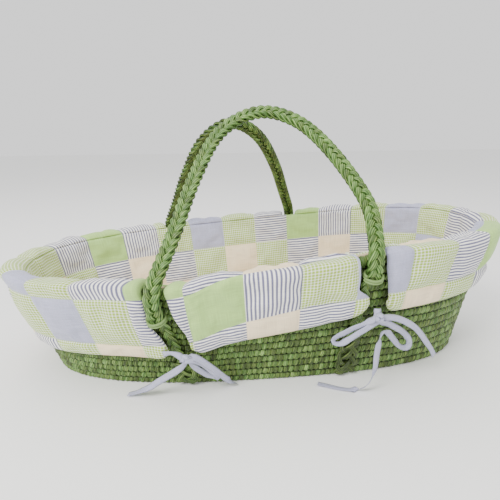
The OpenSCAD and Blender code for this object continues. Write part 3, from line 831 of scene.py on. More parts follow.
# ---- ties ----
def tape_faces(line, closed_up):
    """The way that a tape faces at each point: off the wall, up on the floor, and round in a loop."""
    tangent = unit(np.gradient(line, axis=0))
    centre = np.array([0, 0, 0.35])
    off_wall = unit((line - centre) * (0.25, 1.0, 0.0) + (0, 0, 0.02))
    low = smooth((line[:, 2:] - 0.004) / 0.022)
    face = off_wall * low + np.array([0, 0, 1.0]) * (1 - low)
    bend = np.gradient(tangent, axis=0)
    tight = np.clip(np.linalg.norm(bend, axis=1, keepdims=True) / closed_up, 0, 1)
    before = None
    made = []
    for i in range(len(line)):
        turn = bend[i] / max(np.linalg.norm(bend[i]), 1e-9)
        if before is not None and turn @ before < 0:
            turn = -turn
        want = face[i] * (1 - 0.62 * tight[i]) + turn * 0.62 * tight[i]
        want = want - (want @ tangent[i]) * tangent[i]
        before = want / np.linalg.norm(want)
        made.append(before)
    made = softened(np.array(made), 4)
    made = made - (made * tangent).sum(1)[:, None] * tangent
    return unit(made), tangent


def tape(name, line, width, thickness, closed_up=0.12, twist=0.0):
    """A flat tape swept along a line, with its length and width as its cloth coordinates."""
    face, tangent = tape_faces(line, closed_up)
    side = np.cross(tangent, face)
    across = np.array([-1, -0.55, 0, 0.55, 1, 0.55, 0, -0.55])
    height = np.array([0, 0.5, 0.5, 0.5, 0, -0.5, -0.5, -0.5])
    far = np.concatenate([[0], np.cumsum(np.linalg.norm(np.diff(line, axis=0), axis=1))])
    # A soft tape cups along its length, a little more one way and then the other
    cup = 0.07 * width * np.sin(far / 0.045 * TURN / 2 + twist)
    rings = []
    for i in range(len(line)):
        lift = height * thickness + cup[i] * across ** 2
        rings.append(line[i] + side[i] * across[:, None] * width / 2 + face[i] * lift[:, None])
    count = len(across)
    points = np.concatenate(rings)
    points[:, 2] = np.maximum(points[:, 2], 0.0003)
    faces, spots = [], []
    for i in range(len(line) - 1):
        for j in range(count):
            k = (j + 1) % count
            faces.append((i * count + j, i * count + k, (i + 1) * count + k, (i + 1) * count + j))
            spots += [(far[i], across[j]), (far[i], across[k]),
                      (far[i + 1], across[k]), (far[i + 1], across[j])]
    last = (len(line) - 1) * count
    for a, b, c, d in ((0, 1, 7, 7), (1, 2, 6, 7), (2, 3, 5, 6), (3, 4, 5, 5)):
        for start, order in ((0, (a, b, c, d)), (last, (d, c, b, a))):
            ring = list(dict.fromkeys(start + k for k in order))
            faces.append(ring)
            spots += [(far[0 if start == 0 else -1], across[k - start]) for k in ring]
    mesh = mesh_from(name, points, faces)
    cloth_coordinates(mesh, np.array(spots) * (1, width / 2))
    tidy_normals(mesh)
    shade_smooth(mesh)
    return piece_from(name, mesh)


class BASKET_OT_ties(bpy.types.Operator):
    """Ties the two bows at the front slots from flat lilac tape"""
    bl_idname = "basket.ties"
    bl_label = "Ribbon ties"

    def execute(self, context):
        width = context.scene.basket_sizes.ribbon_width
        c = context.scene.basket_colours
        cloth = cotton("lilac_tape", c.lilac, c.white, across=0.0012, along=0.0012, share=0.9)
        for letter, centre in KNOTS.items():
            # A tape knot: two turns that cross over each other and draw in at the middle
            turn = np.linspace(0, TURN, 61)
            radius = 0.0040 + 0.0012 * np.cos(3 * turn)
            line = np.stack([radius * np.cos(2 * turn), 0.0030 * np.sin(3 * turn),
                             radius * np.sin(2 * turn)], -1)
            knot = tape(f"tie_knot_{letter}", line + np.array(centre) / 1000, width * 0.62, 0.0016, 0.3)
            knot.data.materials.append(cloth)
            keep(knot, "basket", "ribbon_cotton", f"bow_knot_{letter}")
        for name, route in TIES.items():
            letter = name[7]
            line = evenly(through(np.array(route) / 1000, 8), 0.0035)
            piece = tape(name.replace("ribbon", "tie"), line, width, 0.0008, twist=len(route) * 0.7)
            piece.data.materials.append(cloth)
            keep(piece, "basket", "ribbon_cotton", name)
        return {"FINISHED"}


# ---- woven wall, rim and floor ----
def course_limits(i, angle):
    """Lowest and highest height of course i, from 1, at an angle."""
    full = crest(angle) - WALL_TOP
    return full * (i - 1) / COURSES, full * i / COURSES


class BASKET_OT_wall(bpy.types.Operator):
    """Weaves the wall: a core for each course, wrapped in dyed leaf"""
    bl_idname = "basket.wall"
    bl_label = "Woven wall"

    def execute(self, context):
        width = context.scene.basket_sizes.leaf_width
        leaf = leaf_ring("leaf_of_wall", width, 2 * HALF_WALL + 0.0022, 12, 5)
        finish = dyed_leaf("dyed_maize_leaf", context)
        # The core is painted far darker than the leaf, as painted shade in the gaps between the wraps
        dark = dyed_leaf("shaded_maize_leaf", context, shift=-0.8)
        for i in range(1, COURSES + 1):
            angle = np.linspace(0, TURN, 240, endpoint=False) + 0.37 * i
            low, high = course_limits(i, angle)
            middle = (low + high) / 2
            line = wall(angle, middle)
            up = unit(wall(angle, high) - wall(angle, low))
            tall = (high - low) * (0.97 if i == 1 else 1.02)
            path = path_mesh(f"course_path_{i}", line, closed=True, wall_up=up, wrap_height=tall)
            wraps = grown(f"wall_course_{i:02d}", path, wrap_tree(), Leaf=leaf, Spacing=width * 0.88,
                          Slant=0.30, Seed=i, Material=finish)
            edge = (high - low) * CORE_EDGE
            inner, outer = [[wall(angle, z, inset) for z in (low + edge, high - edge)]
                            for inset in (-HALF_WALL * CORE_SHARE, HALF_WALL * CORE_SHARE)]
            core = thin_core(inner, outer, f"core_{i}")
            core.materials.append(dark)
            piece = joined(f"wall_course_{i:02d}", [wraps, core])
            keep(piece, "basket", "woven_leaf", f"course_{i:02d}")
        return {"FINISHED"}


class BASKET_OT_rim(bpy.types.Operator):
    """Wraps the rolled rim under the lining in leaf"""
    bl_idname = "basket.rim"
    bl_label = "Rolled rim"

    def execute(self, context):
        width = context.scene.basket_sizes.leaf_width * 1.1
        leaf = leaf_ring("leaf_of_rim", width, ROLL_WIDTH, 12, 5)
        angle = np.linspace(0, TURN, 240, endpoint=False)
        height = crest(angle)
        line = wall(angle, height - ROLL_MIDDLE)
        up = unit(wall(angle, height) - wall(angle, height - 0.03))
        path = path_mesh("rim_path", line, closed=True, wall_up=up,
                         wrap_height=np.full(len(angle), ROLL_HEIGHT))
        wraps = grown("rim_wrap", path, wrap_tree(), Leaf=leaf, Spacing=width * 0.85, Slant=0.38, Seed=31,
                      Material=dyed_leaf("dyed_maize_leaf", context))
        keep(piece_from("rim_wrap", wraps), "basket", "woven_leaf", "rim_roll")
        return {"FINISHED"}


class BASKET_OT_floor(bpy.types.Operator):
    """Weaves the floor from rings of wrapped leaf"""
    bl_idname = "basket.floor"
    bl_label = "Woven floor"

    def execute(self, context):
        leaf = leaf_ring("leaf_of_floor", FLOOR_LEAF, FLOOR_THICKNESS * 0.97, 8, 4)
        finish = dyed_leaf("dyed_maize_leaf", context)
        step = (BASE[1] - HALF_WALL) / FLOOR_RINGS
        angle = np.linspace(0, TURN, 160, endpoint=False)
        parts = []
        for i in range(FLOOR_RINGS):
            inset = HALF_WALL + step * (i + 0.5)
            flat = outline(BASE, angle, -inset) + (BASE_SHIFT, 0)
            line = np.column_stack([flat, np.full(len(angle), FLOOR_THICKNESS / 2)])
            tangent = unit(np.roll(line, -1, 0) - np.roll(line, 1, 0))
            inwards = np.cross(np.array([0, 0, 1.0]), tangent)
            path = path_mesh(f"floor_path_{i}", line, closed=True, wall_up=inwards,
                             wrap_height=np.full(len(angle), step * 1.02))
            parts.append(grown(f"floor_ring_{i}", path, wrap_tree(), Leaf=leaf, Spacing=FLOOR_LEAF * 0.9,
                               Slant=0.2, Seed=60 + i, Material=finish))
        piece = joined("floor_weave", parts)
        keep(piece, "basket", "woven_leaf", "basket_floor")
        return {"FINISHED"}


# ---- handle feet ----
def foot(name):
    """Where a handle foot stands: pivot, directions and the ends of its root, strap and mat."""
    side, x, root, mat_x, mat_z, mat_length = FEET[name]
    angle = angle_at(x, side)
    height = crest(angle)
    pivot = wall(angle, height - PIVOT_DROP, STANDOFF)
    down = unit(wall(angle, height - 0.060, STANDOFF) - wall(angle, height - 0.010, STANDOFF))
    small = math.radians(1)
    along = wall(angle + small, height / 2) - wall(angle - small, height / 2)
    up = wall(angle, height / 2 + 0.04) - wall(angle, height / 2)
    outward = unit(np.cross(along, up))
    top = pivot + ROOT_DROP * down
    end = top + root * down
    mat_angle = angle_at(mat_x, side)
    rise = HALF_WALL + WALL_SKIN + MAT_THICKNESS / 2
    mat_low = wall(mat_angle, mat_z, rise)
    mat_up = unit(wall(mat_angle, mat_z + mat_length, rise) - mat_low)
    strap_low = mat_low + (mat_length + 0.0006) * mat_up - outward * (MAT_THICKNESS - STRAP_THICKNESS) / 2
    strap_in = STANDOFF * 0.95 - HALF_WALL - WALL_SKIN - STRAP_THICKNESS / 2
    strap_high = end + down * 0.003 - outward * strap_in
    return {"pivot": pivot, "down": down, "outward": outward, "top": top, "end": end,
            "mat_low": mat_low, "mat_up": mat_up, "mat_length": mat_length,
            "strap_low": strap_low, "strap_high": strap_high}


class BASKET_OT_handles(bpy.types.Operator):
    """Braids each handle in one length with its roots"""
    bl_idname = "basket.handles"
    bl_label = "Braided handles"

    def execute(self, context):
        sizes = context.scene.basket_sizes
        profile = strand_profile(*STRANDS["handle"])
        finish = braided_leaf(context)
        for number, (name, (foot_a, foot_b, arch, reach, lean)) in enumerate(HANDLES.items()):
            a, b = foot(foot_a), foot(foot_b)
            side = FEET[foot_a][0]
            span = b["pivot"] - a["pivot"]
            along = unit(span)
            upright = unit(np.array([0, 0, 1]) - along[2] * along)
            lean = math.radians(lean)
            leaning = math.cos(lean) * upright - math.sin(lean) * np.array([0, side, 0])
            rise = unit(leaning - (leaning @ along) * along)
            middle = (a["pivot"] + b["pivot"]) / 2
            curve = through(np.array(arch), 12)
            bow = middle + np.outer(curve[:, 0], span) + np.outer(curve[:, 1], rise) * reach
            outwards = unit(np.cross(along, rise)) * (1 if np.cross(along, rise)[1] * side > 0 else -1)
            line = np.concatenate([
                [a["end"] - a["down"] * s for s in np.linspace(0.0, FEET[foot_a][2] + ROOT_DROP * 0.6, 6)],
                bow[5:-5],
                [b["end"] - b["down"] * s for s in np.linspace(FEET[foot_b][2] + ROOT_DROP * 0.6, 0.0, 6)]])
            line = softened(evenly(line, 0.003), 14)
            far = np.minimum(np.arange(len(line)), np.arange(len(line))[::-1]) * 0.003
            root = np.where((np.arange(len(line)) < len(line) / 2)[:, None], a["outward"], b["outward"])
            face = unit(root * (1 - smooth(far / 0.09))[:, None] + outwards * smooth(far / 0.09)[:, None])
            tangent = unit(np.gradient(line, axis=0))
            face = unit(face - (face * tangent).sum(1)[:, None] * tangent)
            piece = plaited(f"handle_braid_{name}", line, face, profile, finish, sizes.braid_strands,
                            *SWINGS["handle"], sizes.braid_period, spacing=0.0035, seed=number * 7)
            way = unit(rise - unit(a["down"] + b["down"]))
            way = unit(way - (way @ along) * along)
            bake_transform(piece)
            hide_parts(f"handle_{name}", f"root_{foot_a}", f"root_{foot_b}")
        return {"FINISHED"}


class BASKET_OT_lashings(bpy.types.Operator):
    """Binds each handle foot with turns of twisted leaf cord"""
    bl_idname = "basket.lashings"
    bl_label = "Lashings"

    def execute(self, context):
        profile = strand_profile(*STRANDS["lashing"])
        finish = dyed_leaf("leaf_cord", context, shift=-0.06)
        for number, name in enumerate(FEET):
            at = foot(name)
            up = -at["down"]
            across = unit(np.cross(at["outward"], up))
            out = np.cross(up, across)
            turn = np.linspace(0, 2.06, 66) * TURN
            radius = BRAID_RADIUS + LASH_D * 0.52
            rise = LASH_D * (0.55 + 1.05 * turn / TURN)
            line = (at["end"] + np.outer(rise, up) + np.outer(np.cos(turn), across) * radius
                    + np.outer(np.sin(turn), out) * radius)
            face = unit(np.outer(np.cos(turn), across) + np.outer(np.sin(turn), out))
            piece = plaited(f"foot_lashing_{name}", line, face, profile, finish, spacing=0.0022,
                            seed=20 + number)
            keep(piece, "basket", "leaf_cord", f"lashing_{name}")
        return {"FINISHED"}


class BASKET_OT_straps(bpy.types.Operator):
    """Plaits the flat strap under each handle foot"""
    bl_idname = "basket.straps"
    bl_label = "Plaited straps"

    def execute(self, context):
        profile = strand_profile(*STRANDS["strap"])
        finish = braided_leaf(context)
        for number, name in enumerate(FEET):
            at = foot(name)
            line = evenly([at["strap_high"], at["strap_low"]], 0.003)
            face = np.tile(at["outward"], (len(line), 1))
            piece = plaited(f"foot_strap_{name}", line, face, profile, finish, 3, *SWINGS["strap"],
                            period=STRAP_PERIOD, spacing=0.003, seed=40 + number)
            keep(piece, "basket", "braided_leaf", f"strap_{name}")
        return {"FINISHED"}


class BASKET_OT_mats(bpy.types.Operator):
    """Knots the oval mat that ends each strap: one closed strand that goes over and under itself"""
    bl_idname = "basket.mats"
    bl_label = "Knot mats"

    def execute(self, context):
        profile = strand_profile(*STRANDS["mat"])
        finish = braided_leaf(context)
        for number, name in enumerate(FEET):
            at = foot(name)
            across = unit(np.cross(at["outward"], at["mat_up"]))
            out = unit(np.cross(at["mat_up"], across))
            out = out * (1 if out @ at["outward"] > 0 else -1)
            half_width = MAT_WIDTH / 2 - MAT_EDGE
            half_length = at["mat_length"] / 2 - MAT_EDGE
            lobes = 5 if at["mat_length"] > 0.06 else 3
            start, rises, rise_start = MAT_CURVES[lobes]
            turn = np.linspace(0, TURN, 300)
            middle = at["mat_low"] + at["mat_up"] * at["mat_length"] / 2
            line = (middle + np.outer(np.cos(lobes * turn + start), across) * half_width
                    + np.outer(np.cos(2 * turn), at["mat_up"]) * half_length
                    + np.outer(np.cos(rises * turn + rise_start), out) * MAT_WEAVE)
            face = np.tile(out, (len(line), 1))
            piece = plaited(f"foot_mat_{name}", line, face, profile, finish, spacing=0.0025,
                            seed=50 + number)
            keep(piece, "basket", "braided_leaf", f"knot_mat_{name}")
        return {"FINISHED"}


# ---- quilted lining ----
def patch_columns():
    """Every column of patches round the rim: the way at which it starts, and its four fabrics."""
    front = [FRONT_SEAM + PATCH * k for k in range(FRONT_FIRST, FRONT_LAST + 1)]
    rear = [ROUND / 2 - (REAR_SEAM + PATCH * k) for k in range(REAR_LAST, REAR_FIRST - 1, -1)]
    letters = FRONT_COLUMNS.split() + [END_COLUMNS] + REAR_COLUMNS.split() + [FOOT_COLUMNS]
    starts = front + rear
    if len(starts) != len(letters):
        raise RuntimeError(f"{len(starts)} columns of patches and {len(letters)} sets of fabrics")
    return starts, letters


STARTS, LETTERS = patch_columns()


def fabric_at(way, row):
    """The letter of the patch at a way round the rim, in row 0 (inside) to 3 (hem)."""
    way = (way - STARTS[0]) % ROUND + STARTS[0]
    column = max(i for i, start in enumerate(STARTS) if start <= way + 1e-9)
    return LETTERS[column][row]


def seams_between(low, high, margin):
    starts = np.array(STARTS)
    every = np.concatenate([starts - ROUND, starts, starts + ROUND])
    return sorted(s for s in every if low + margin < s < high - margin)


def steps_through(knots, spacing):
    """Places between knots at about that spacing, as (knot before, share of the way to the next)."""
    places = []
    for i in range(len(knots) - 1):
        count = max(2, round((knots[i + 1] - knots[i]) / spacing))
        places += [(i, k / count) for k in range(count)]
    return places + [(len(knots) - 2, 1.0)]


def between(knots, places):
    """The values at places that steps_through gives."""
    return np.interp([knot + share for knot, share in places], range(len(knots)), knots)


def crown(share_across, share_along):
    """How far a padded patch stands up: nothing at its seams and most in the middle."""
    a = 1 - np.abs(2 * share_across - 1) ** 3.2
    b = 1 - np.abs(2 * share_along - 1) ** 3.2
    return (a * b) ** 0.5


def ripple(points, size, seed):
    """Slow unevenness of hand-stuffed wadding, the same on every run."""
    return np.array([[noise.noise(Vector(p) / size + Vector((seed, 0, 0))) for p in row] for row in points])


def uneven(points, stand, seed):
    """Lumps of wadding about 34 mm long, and puckers about 12 mm long beside the seams."""
    return (ripple(points, 0.034, seed) * 0.0020 * stand
            + ripple(points, 0.012, seed + 3) * 0.0013 * (1 - stand) * np.minimum(1, 6 * stand))


def quilt_mesh(name, face, back, ways, downs, letters, cloths, closed):
    """A closed quilted sheet from two grids of points, with its patches as materials."""
    rows, columns = face.shape[:2]
    total = rows * columns
    wide = columns if closed else columns - 1
    order = list(cloths)
    faces, spots, finish = [], [], []

    def number(i, j, side):
        return side * total + i * columns + j % columns

    def place(i, j):
        return (ways[i, j % columns] + (ROUND if j == columns else 0), downs[i, j % columns])

    for i in range(rows - 1):
        for j in range(wide):
            corners = [(i, j), (i, j + 1), (i + 1, j + 1), (i + 1, j)]
            letter = order.index(letters[i][j])
            faces.append([number(r, c, 0) for r, c in corners])
            faces.append([number(r, c, 1) for r, c in corners[::-1]])
            spots += [place(r, c) for r, c in corners] + [place(r, c) for r, c in corners[::-1]]
            finish += [letter, order.index("back")]
    rims = [((0, j + 1), (0, j)) for j in range(wide)]
    rims += [((rows - 1, j), (rows - 1, j + 1)) for j in range(wide)]
    if not closed:
        rims += [((i, 0), (i + 1, 0)) for i in range(rows - 1)]
        rims += [((i + 1, columns - 1), (i, columns - 1)) for i in range(rows - 1)]
    for (r, c), (s, d) in rims:
        faces.append([number(r, c, 0), number(s, d, 0), number(s, d, 1), number(r, c, 1)])
        u, v = place(r, c), place(s, d)
        spots += [u, v, (v[0] + 0.004, v[1] + 0.004), (u[0] + 0.004, u[1] + 0.004)]
        column = min(min(c, d), wide - 1)
        finish.append(order.index(letters[min(r, s, rows - 2)][column]))
    mesh = mesh_from(name, np.concatenate([face.reshape(-1, 3), back.reshape(-1, 3)]), faces)
    for letter in order:
        mesh.materials.append(cloths[letter])
    mesh.polygons.foreach_set("material_index", finish)
    cloth_coordinates(mesh, spots)
    tidy_normals(mesh)
    return mesh


def billow(piece, pinned, pressure=1.2, cap=0.0026):
    """Puffs a quilt by cloth simulation between its pinned seams, and keeps the result in its mesh."""
    group = piece.vertex_groups.new(name="seams")
    group.add([int(i) for i in np.flatnonzero(pinned)], 1.0, "REPLACE")
    rest = np.array([v.co for v in piece.data.vertices])
    cloth = piece.modifiers.new("Cloth", "CLOTH")
    cloth.settings.quality = 4
    cloth.settings.mass = 0.2
    cloth.settings.tension_stiffness = 12
    cloth.settings.compression_stiffness = 12
    cloth.settings.bending_stiffness = 0.25
    cloth.settings.vertex_group_mass = "seams"
    cloth.settings.use_pressure = True
    cloth.settings.uniform_pressure_force = pressure
    cloth.settings.shrink_min = -0.035
    cloth.settings.effector_weights.gravity = 0
    scene = bpy.context.scene
    for step in range(1, 15):
        scene.frame_set(step)
    depsgraph = bpy.context.evaluated_depsgraph_get()
    shaped = piece.evaluated_get(depsgraph)
    moved = np.array([v.co for v in shaped.data.vertices])
    piece.modifiers.remove(cloth)
    piece.vertex_groups.remove(group)
    scene.frame_set(1)
    shift = moved - rest
    far = np.linalg.norm(shift, axis=1, keepdims=True)
    shift = shift * np.minimum(1, cap / np.maximum(far, 1e-9))
    piece.data.vertices.foreach_set("co", (rest + shift).astype(np.float32).ravel())
    piece.data.update()


def subdivided(piece):
    """Rounds a quilt with a subdivision surface and keeps the result as its plain mesh."""
    modifier = piece.modifiers.new("Round", "SUBSURF")
    modifier.levels = modifier.render_levels = 1
    modifier.uv_smooth = "PRESERVE_BOUNDARIES"
    mesh = settled(piece)
    piece.modifiers.clear()
    piece.data = mesh
    mesh.name = piece.name
    shade_smooth(mesh)


def finish_quilt(name, mesh, stand, closed, node):
    """Puffs, rounds and keeps a quilt. Its seams, its edges and the whole of its back stay put."""
    held = stand < 1e-6
    held[0] = held[-1] = True
    if not closed:
        held[:, 0] = held[:, -1] = True
    piece = piece_from(name, mesh)
    billow(piece, np.concatenate([held.ravel(), np.ones(held.size, bool)]))
    subdivided(piece)
    keep(piece, "basket", "patchwork_cotton", node)


def flap_edge(edge, share):
    """The way round the rim at which a flap's edge lies, at shares of its drop."""
    name, direction, table = edge
    side, x = FEET[name][:2]
    keys, values = np.array(EDGES[table]).T
    return way_of(angle_at(x + direction * (BRAID_RADIUS + np.interp(share, keys, values)), side))


def row_seams(angle):
    """How far over the crest the two row seams of a flap lie, at each angle."""
    x, y = np.moveaxis(outline(RIM, angle), -1, 0)
    places, upper, lower = np.array(FRONT_ROWS).T
    rear = smooth((y + 0.09) / 0.18)
    return [np.interp(x, places, front) * (1 - rear) + back * rear
            for front, back in zip((upper, lower), REAR_ROWS)]


class BASKET_OT_flaps(bpy.types.Operator):
    """Folds the four quilted flaps over the rim, in patches between sewn seams"""
    bl_idname = "basket.flaps"
    bl_label = "Patchwork flaps"

    def execute(self, context):
        cloths = fabrics(context)
        lift_crown = context.scene.basket_sizes.quilt_crown
        for number, (name, (low_edge, high_edge, low_drop, high_drop, ramp)) in enumerate(FLAPS.items()):
            shares = np.linspace(0, 1, 21)
            lows, highs = flap_edge(low_edge, shares), flap_edge(high_edge, shares)
            wrap = ROUND if highs.mean() < lows.mean() else 0
            highs = highs + wrap
            seams = seams_between(lows.min(), highs.max(), SEAM_MARGIN)
            first, last = lows.mean(), highs.mean()
            knots = [first, *np.clip(seams, first + SEAM_MARGIN, last - SEAM_MARGIN), last]
            starts = [seams[0] - PATCH / 2, *seams]
            columns = steps_through(knots, FLAP_STEP)
            rows = steps_through([FOLD[0, 0], 0.022, 0.100, 0.130], FLAP_STEP)
            ways, downs = np.zeros((2, len(rows), len(columns)))
            face, back = np.zeros((2, len(rows), len(columns), 3))
            stand = np.zeros((len(rows), len(columns)))
            for i, (row, down_share) in enumerate(rows):
                # A first guess of the depth sets how far the slot edges have moved in at this row
                way = between(knots, columns)
                for _ in range(3):
                    k = (way - lows.min()) / (highs.max() - lows.min())
                    drop = low_drop * (1 - k) + high_drop * k
                    upper, lower = row_seams(angle_of(way))
                    near = np.minimum(way - way[0], way[-1] - way)
                    corner = np.clip(1 - near / CORNER_RADIUS, 0, 1)
                    hem = drop + DROP_START - CORNER_RADIUS * (1 - np.sqrt(1 - corner ** 2))
                    start = np.full(len(way), FOLD[0, 0])
                    lines = np.stack([start, upper, np.minimum(lower, hem - 0.006), hem])
                    over = lines[row] * (1 - down_share) + lines[row + 1] * down_share
                    depth = np.maximum(0, over - DROP_START)
                    share = np.clip(depth / drop, 0, 1)
                    first = float(flap_edge(low_edge, share[0]))
                    last = float(flap_edge(high_edge, share[-1])) + wrap
                    inside = [first, *np.clip(seams, first + 0.002, last - 0.002), last]
                    way = between(inside, columns)
                ways[i], downs[i] = way, over
                angle = angle_of(way)
                k = (way - way[0]) / (way[-1] - way[0])
                lift = SLOT_LIFT * (1 - smooth(np.minimum(k, 1 - k) / ramp)) * smooth(share / 0.5)
                beyond = np.maximum(over - FOLD_END, 0)
                outer_off, outer_depth, inner_off, inner_depth = [
                    np.interp(over, FOLD[:, 0], FOLD[:, c]) for c in (1, 2, 3, 4)]
                height = crest(angle)
                joined_on = max(down_share, 0.5) if row == 0 else down_share
                a = crown(np.array([s for _, s in columns]), joined_on)
                stand[i] = a
                rise = lift_crown * (a - 0.66)
                face[i] = wall(angle, height - outer_depth - beyond, outer_off + lift)
                back[i] = wall(angle, height - inner_depth - beyond, inner_off + lift)
                outwards = unit(face[i] - back[i])
                face[i] += outwards * rise[:, None]
            out = unit(face - back)
            face += out * uneven(face, stand, 5.0 + number)[..., None]
            letters = [[fabric_at(starts[c] + 0.001, r + 1) for c, _ in columns] for r, _ in rows]
            mesh = quilt_mesh(f"quilt_flap_{name}", face, back, ways, downs, letters, cloths, closed=False)
            finish_quilt(f"quilt_flap_{name}", mesh, stand, False, f"flap_{name}")
        return {"FINISHED"}


class BASKET_OT_band(bpy.types.Operator):
    """Lines the inside of the wall with the quilted band and the floor with its padded panel"""
    bl_idname = "basket.band"
    bl_label = "Inner lining"

    def execute(self, context):
        cloths = fabrics(context)
        lift_crown = context.scene.basket_sizes.quilt_crown
        knots = [*STARTS, STARTS[0] + ROUND]
        columns = steps_through(knots, BAND_STEP)[:-1]
        way = between(knots, columns)
        angle = angle_of(way)
        height = crest(angle)
        lines = np.stack([height - BAND_BOTTOM, np.full(len(way), BAND_ROWS[1]),
                          np.full(len(way), BAND_ROWS[0]), np.full(len(way), BAND_TOP)])
        rows = steps_through([-0.190, -BAND_ROWS[1], -BAND_ROWS[0], -BAND_TOP], BAND_STEP)
        shape = (len(rows), len(columns))
        face, back = np.zeros((2, *shape, 3))
        ways, downs, stand = np.zeros((3, *shape))
        for i, (row, share) in enumerate(rows):
            depth = lines[row] * (1 - share) + lines[row + 1] * share
            a = crown(np.array([s for _, s in columns]), min(share, 0.5) if row == 2 else share)
            face[i] = wall(angle, height - depth, BAND_FACE)
            back[i] = wall(angle, height - depth, BAND_BACK)
            ways[i], downs[i], stand[i] = way, -depth, a
        out = unit(face - back)
        face += out * (lift_crown * 0.8 * (stand - 0.75) + uneven(face, stand, 11.0))[..., None]
        letters = [["C" if r == 0 else LETTERS[c][r - 1] for c, _ in columns] for r, _ in rows]
        mesh = quilt_mesh("quilt_band", face, back, ways, downs, letters, cloths, closed=True)
        finish_quilt("quilt_band", mesh, stand, True, "lining_band")

        low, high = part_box("lining_floor")
        panel = crowned_pad("lining_pad", low.z, high.z, -HALF_WALL - WALL_SKIN, 0.0004, 0.0018,
                            cloths["C"])
        shade_smooth(panel.data)
        keep(panel, "basket", "plain_cotton", "lining_floor")
        return {"FINISHED"}


# ---- mattress ----
def crowned_pad(name, bottom, top, off, crown_height, edge_radius, cloth, puckers=0.0, hem=None):
    """A pad of the base's outline: rounded at its edges, a little crowned on top, and with an
    open bottom inside a turned-under hem when one is given."""
    angle = np.linspace(0, TURN, 180, endpoint=False)
    quarter = np.linspace(0, math.pi / 2, 5)
    insets = edge_radius * (1 - np.cos(quarter))[::-1]
    drops = edge_radius * (1 - np.sin(quarter))
    shrink = np.linspace(0.0, 1.0, 15)[1:-1]
    centre = np.array([BASE_SHIFT, 0])
    rings, spots = [], []

    def ring(inset, z, share=0.0, wave=0.0):
        pulled = outline(BASE, angle, off - inset - wave * np.abs(np.sin(angle * 34))) + (BASE_SHIFT, 0)
        flat = pulled * (1 - share) + centre * share
        rings.append(np.column_stack([flat, np.full(len(angle), z)]))
        spots.append(flat + (0, z))

    for share in (shrink[::-1] if hem is None else (hem, hem / 2)):
        ring(edge_radius, bottom, share)
    for inset, drop in zip(insets, drops):
        ring(inset, bottom + drop)
    for share in np.linspace(0.2, 0.8, 4):
        ring(0, bottom + edge_radius + (top - bottom - 2 * edge_radius) * share, wave=puckers)
    for inset, drop in zip(insets[::-1], drops[::-1]):
        ring(inset, top - drop)
    for share in shrink:
        ring(edge_radius, top + crown_height * math.sin(share * math.pi / 2), share)
    count = len(angle)
    points = np.concatenate([*rings, [[*centre, top + crown_height]]])
    flat_spots = np.concatenate([*spots, [centre]])
    faces = [(i * count + j, i * count + (j + 1) % count,
              (i + 1) * count + (j + 1) % count, (i + 1) * count + j)
             for i in range(len(rings) - 1) for j in range(count)]
    last = (len(rings) - 1) * count
    if hem is None:
        faces.append(list(range(count))[::-1])
    faces += [(len(points) - 1, last + j, last + (j + 1) % count) for j in range(count)]
    mesh = mesh_from(name, points, faces)
    mesh.materials.append(cloth)
    cloth_coordinates(mesh, flat_spots[[corner for face in faces for corner in face]])
    tidy_normals(mesh)
    return piece_from(name, mesh)


class BASKET_OT_mattress(bpy.types.Operator):
    """Lays the foam mattress and its fitted sheet in the basket"""
    bl_idname = "basket.mattress"
    bl_label = "Mattress and sheet"

    def execute(self, context):
        c = context.scene.basket_colours
        low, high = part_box("mattress_foam")
        off = high.y - BASE[1]
        foam_finish = foam("open_cell_foam")
        core = crowned_pad("mattress_core", low.z, high.z, off, 0.0, 0.006, foam_finish)
        shade_smooth(core.data)
        keep(core, "mattress", "foam", "mattress_foam")

        low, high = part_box("fitted_sheet")
        off = high.y - BASE[1]
        cover = crowned_pad("mattress_sheet", low.z, high.z, off, 0.0035, 0.0085,
                            cotton("cream_sheeting", c.cream), puckers=0.0007, hem=0.35)
        thick = cover.modifiers.new("Cloth thickness", "SOLIDIFY")
        thick.thickness = 0.0010
        thick.offset = -1
        shade_smooth(cover.data)
        keep(cover, "mattress", "sheet_cotton", "fitted_sheet")
        return {"FINISHED"}


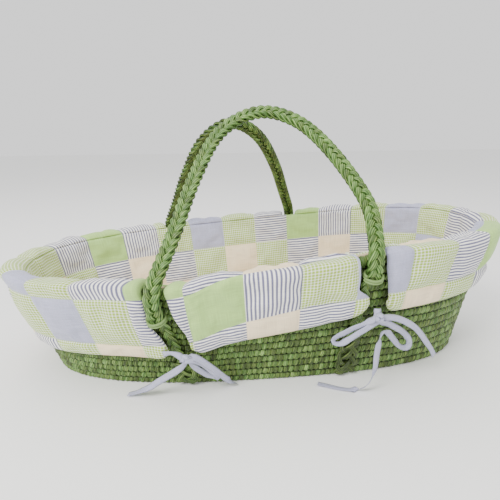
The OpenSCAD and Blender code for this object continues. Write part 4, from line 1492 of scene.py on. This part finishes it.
def foam(name):
    """Open-cell foam: matt, pale, with pores of about 1 mm."""
    made, tree, shader = principled(name, {"Roughness": 0.95, "Specular IOR Level": 0.1})
    at = add(tree, "ShaderNodeTexCoord").outputs["Object"]
    cells = add(tree, "ShaderNodeTexVoronoi", {"Vector": at, "Scale": 1 / 0.0012}).outputs["Distance"]
    # The pits of the pores are painted darker, as painted shade in them
    colour = add(tree, "ShaderNodeValToRGB", {"Fac": cells}, stops=[
        (0.0, linear("#d8cda8")), (1.0, linear("#f2ead0"))])
    tree.links.new(colour.outputs[0], shader.inputs["Base Color"])
    roughen(tree, shader, cells, 0.0006, 0.6)
    return made


class BASKET_PT_panel(bpy.types.Panel):
    bl_label = "Padded Baby Basket"
    bl_idname = "BASKET_PT_panel"
    bl_space_type = "VIEW_3D"
    bl_region_type = "UI"
    bl_category = "Basket"

    def draw(self, context):
        for group in (context.scene.basket_sizes, context.scene.basket_colours):
            for key in group.__annotations__:
                self.layout.prop(group, key)
        for operator in OPERATORS:
            self.layout.operator(operator.bl_idname)


OPERATORS = (
    BASKET_OT_stage, BASKET_OT_ties, BASKET_OT_wall, BASKET_OT_rim, BASKET_OT_floor, BASKET_OT_handles,
    BASKET_OT_lashings, BASKET_OT_straps, BASKET_OT_mats, BASKET_OT_flaps, BASKET_OT_band,
    BASKET_OT_mattress,
)
CLASSES = (BasketSizes, BasketColours, *OPERATORS, BASKET_PT_panel)


def register():
    for each in CLASSES:
        bpy.utils.register_class(each)
    bpy.types.Scene.basket_sizes = bpy.props.PointerProperty(type=BasketSizes)
    bpy.types.Scene.basket_colours = bpy.props.PointerProperty(type=BasketColours)


def unregister():
    del bpy.types.Scene.basket_colours
    del bpy.types.Scene.basket_sizes
    for each in reversed(CLASSES):
        bpy.utils.unregister_class(each)


def main():
    register()
    for operator in OPERATORS:
        group, name = operator.bl_idname.split(".")
        getattr(getattr(bpy.ops, group), name)()
    for helper in [o for o in bpy.data.objects if o.get("helper")]:
        bpy.data.objects.remove(helper)


if __name__ == "__main__":
    main()
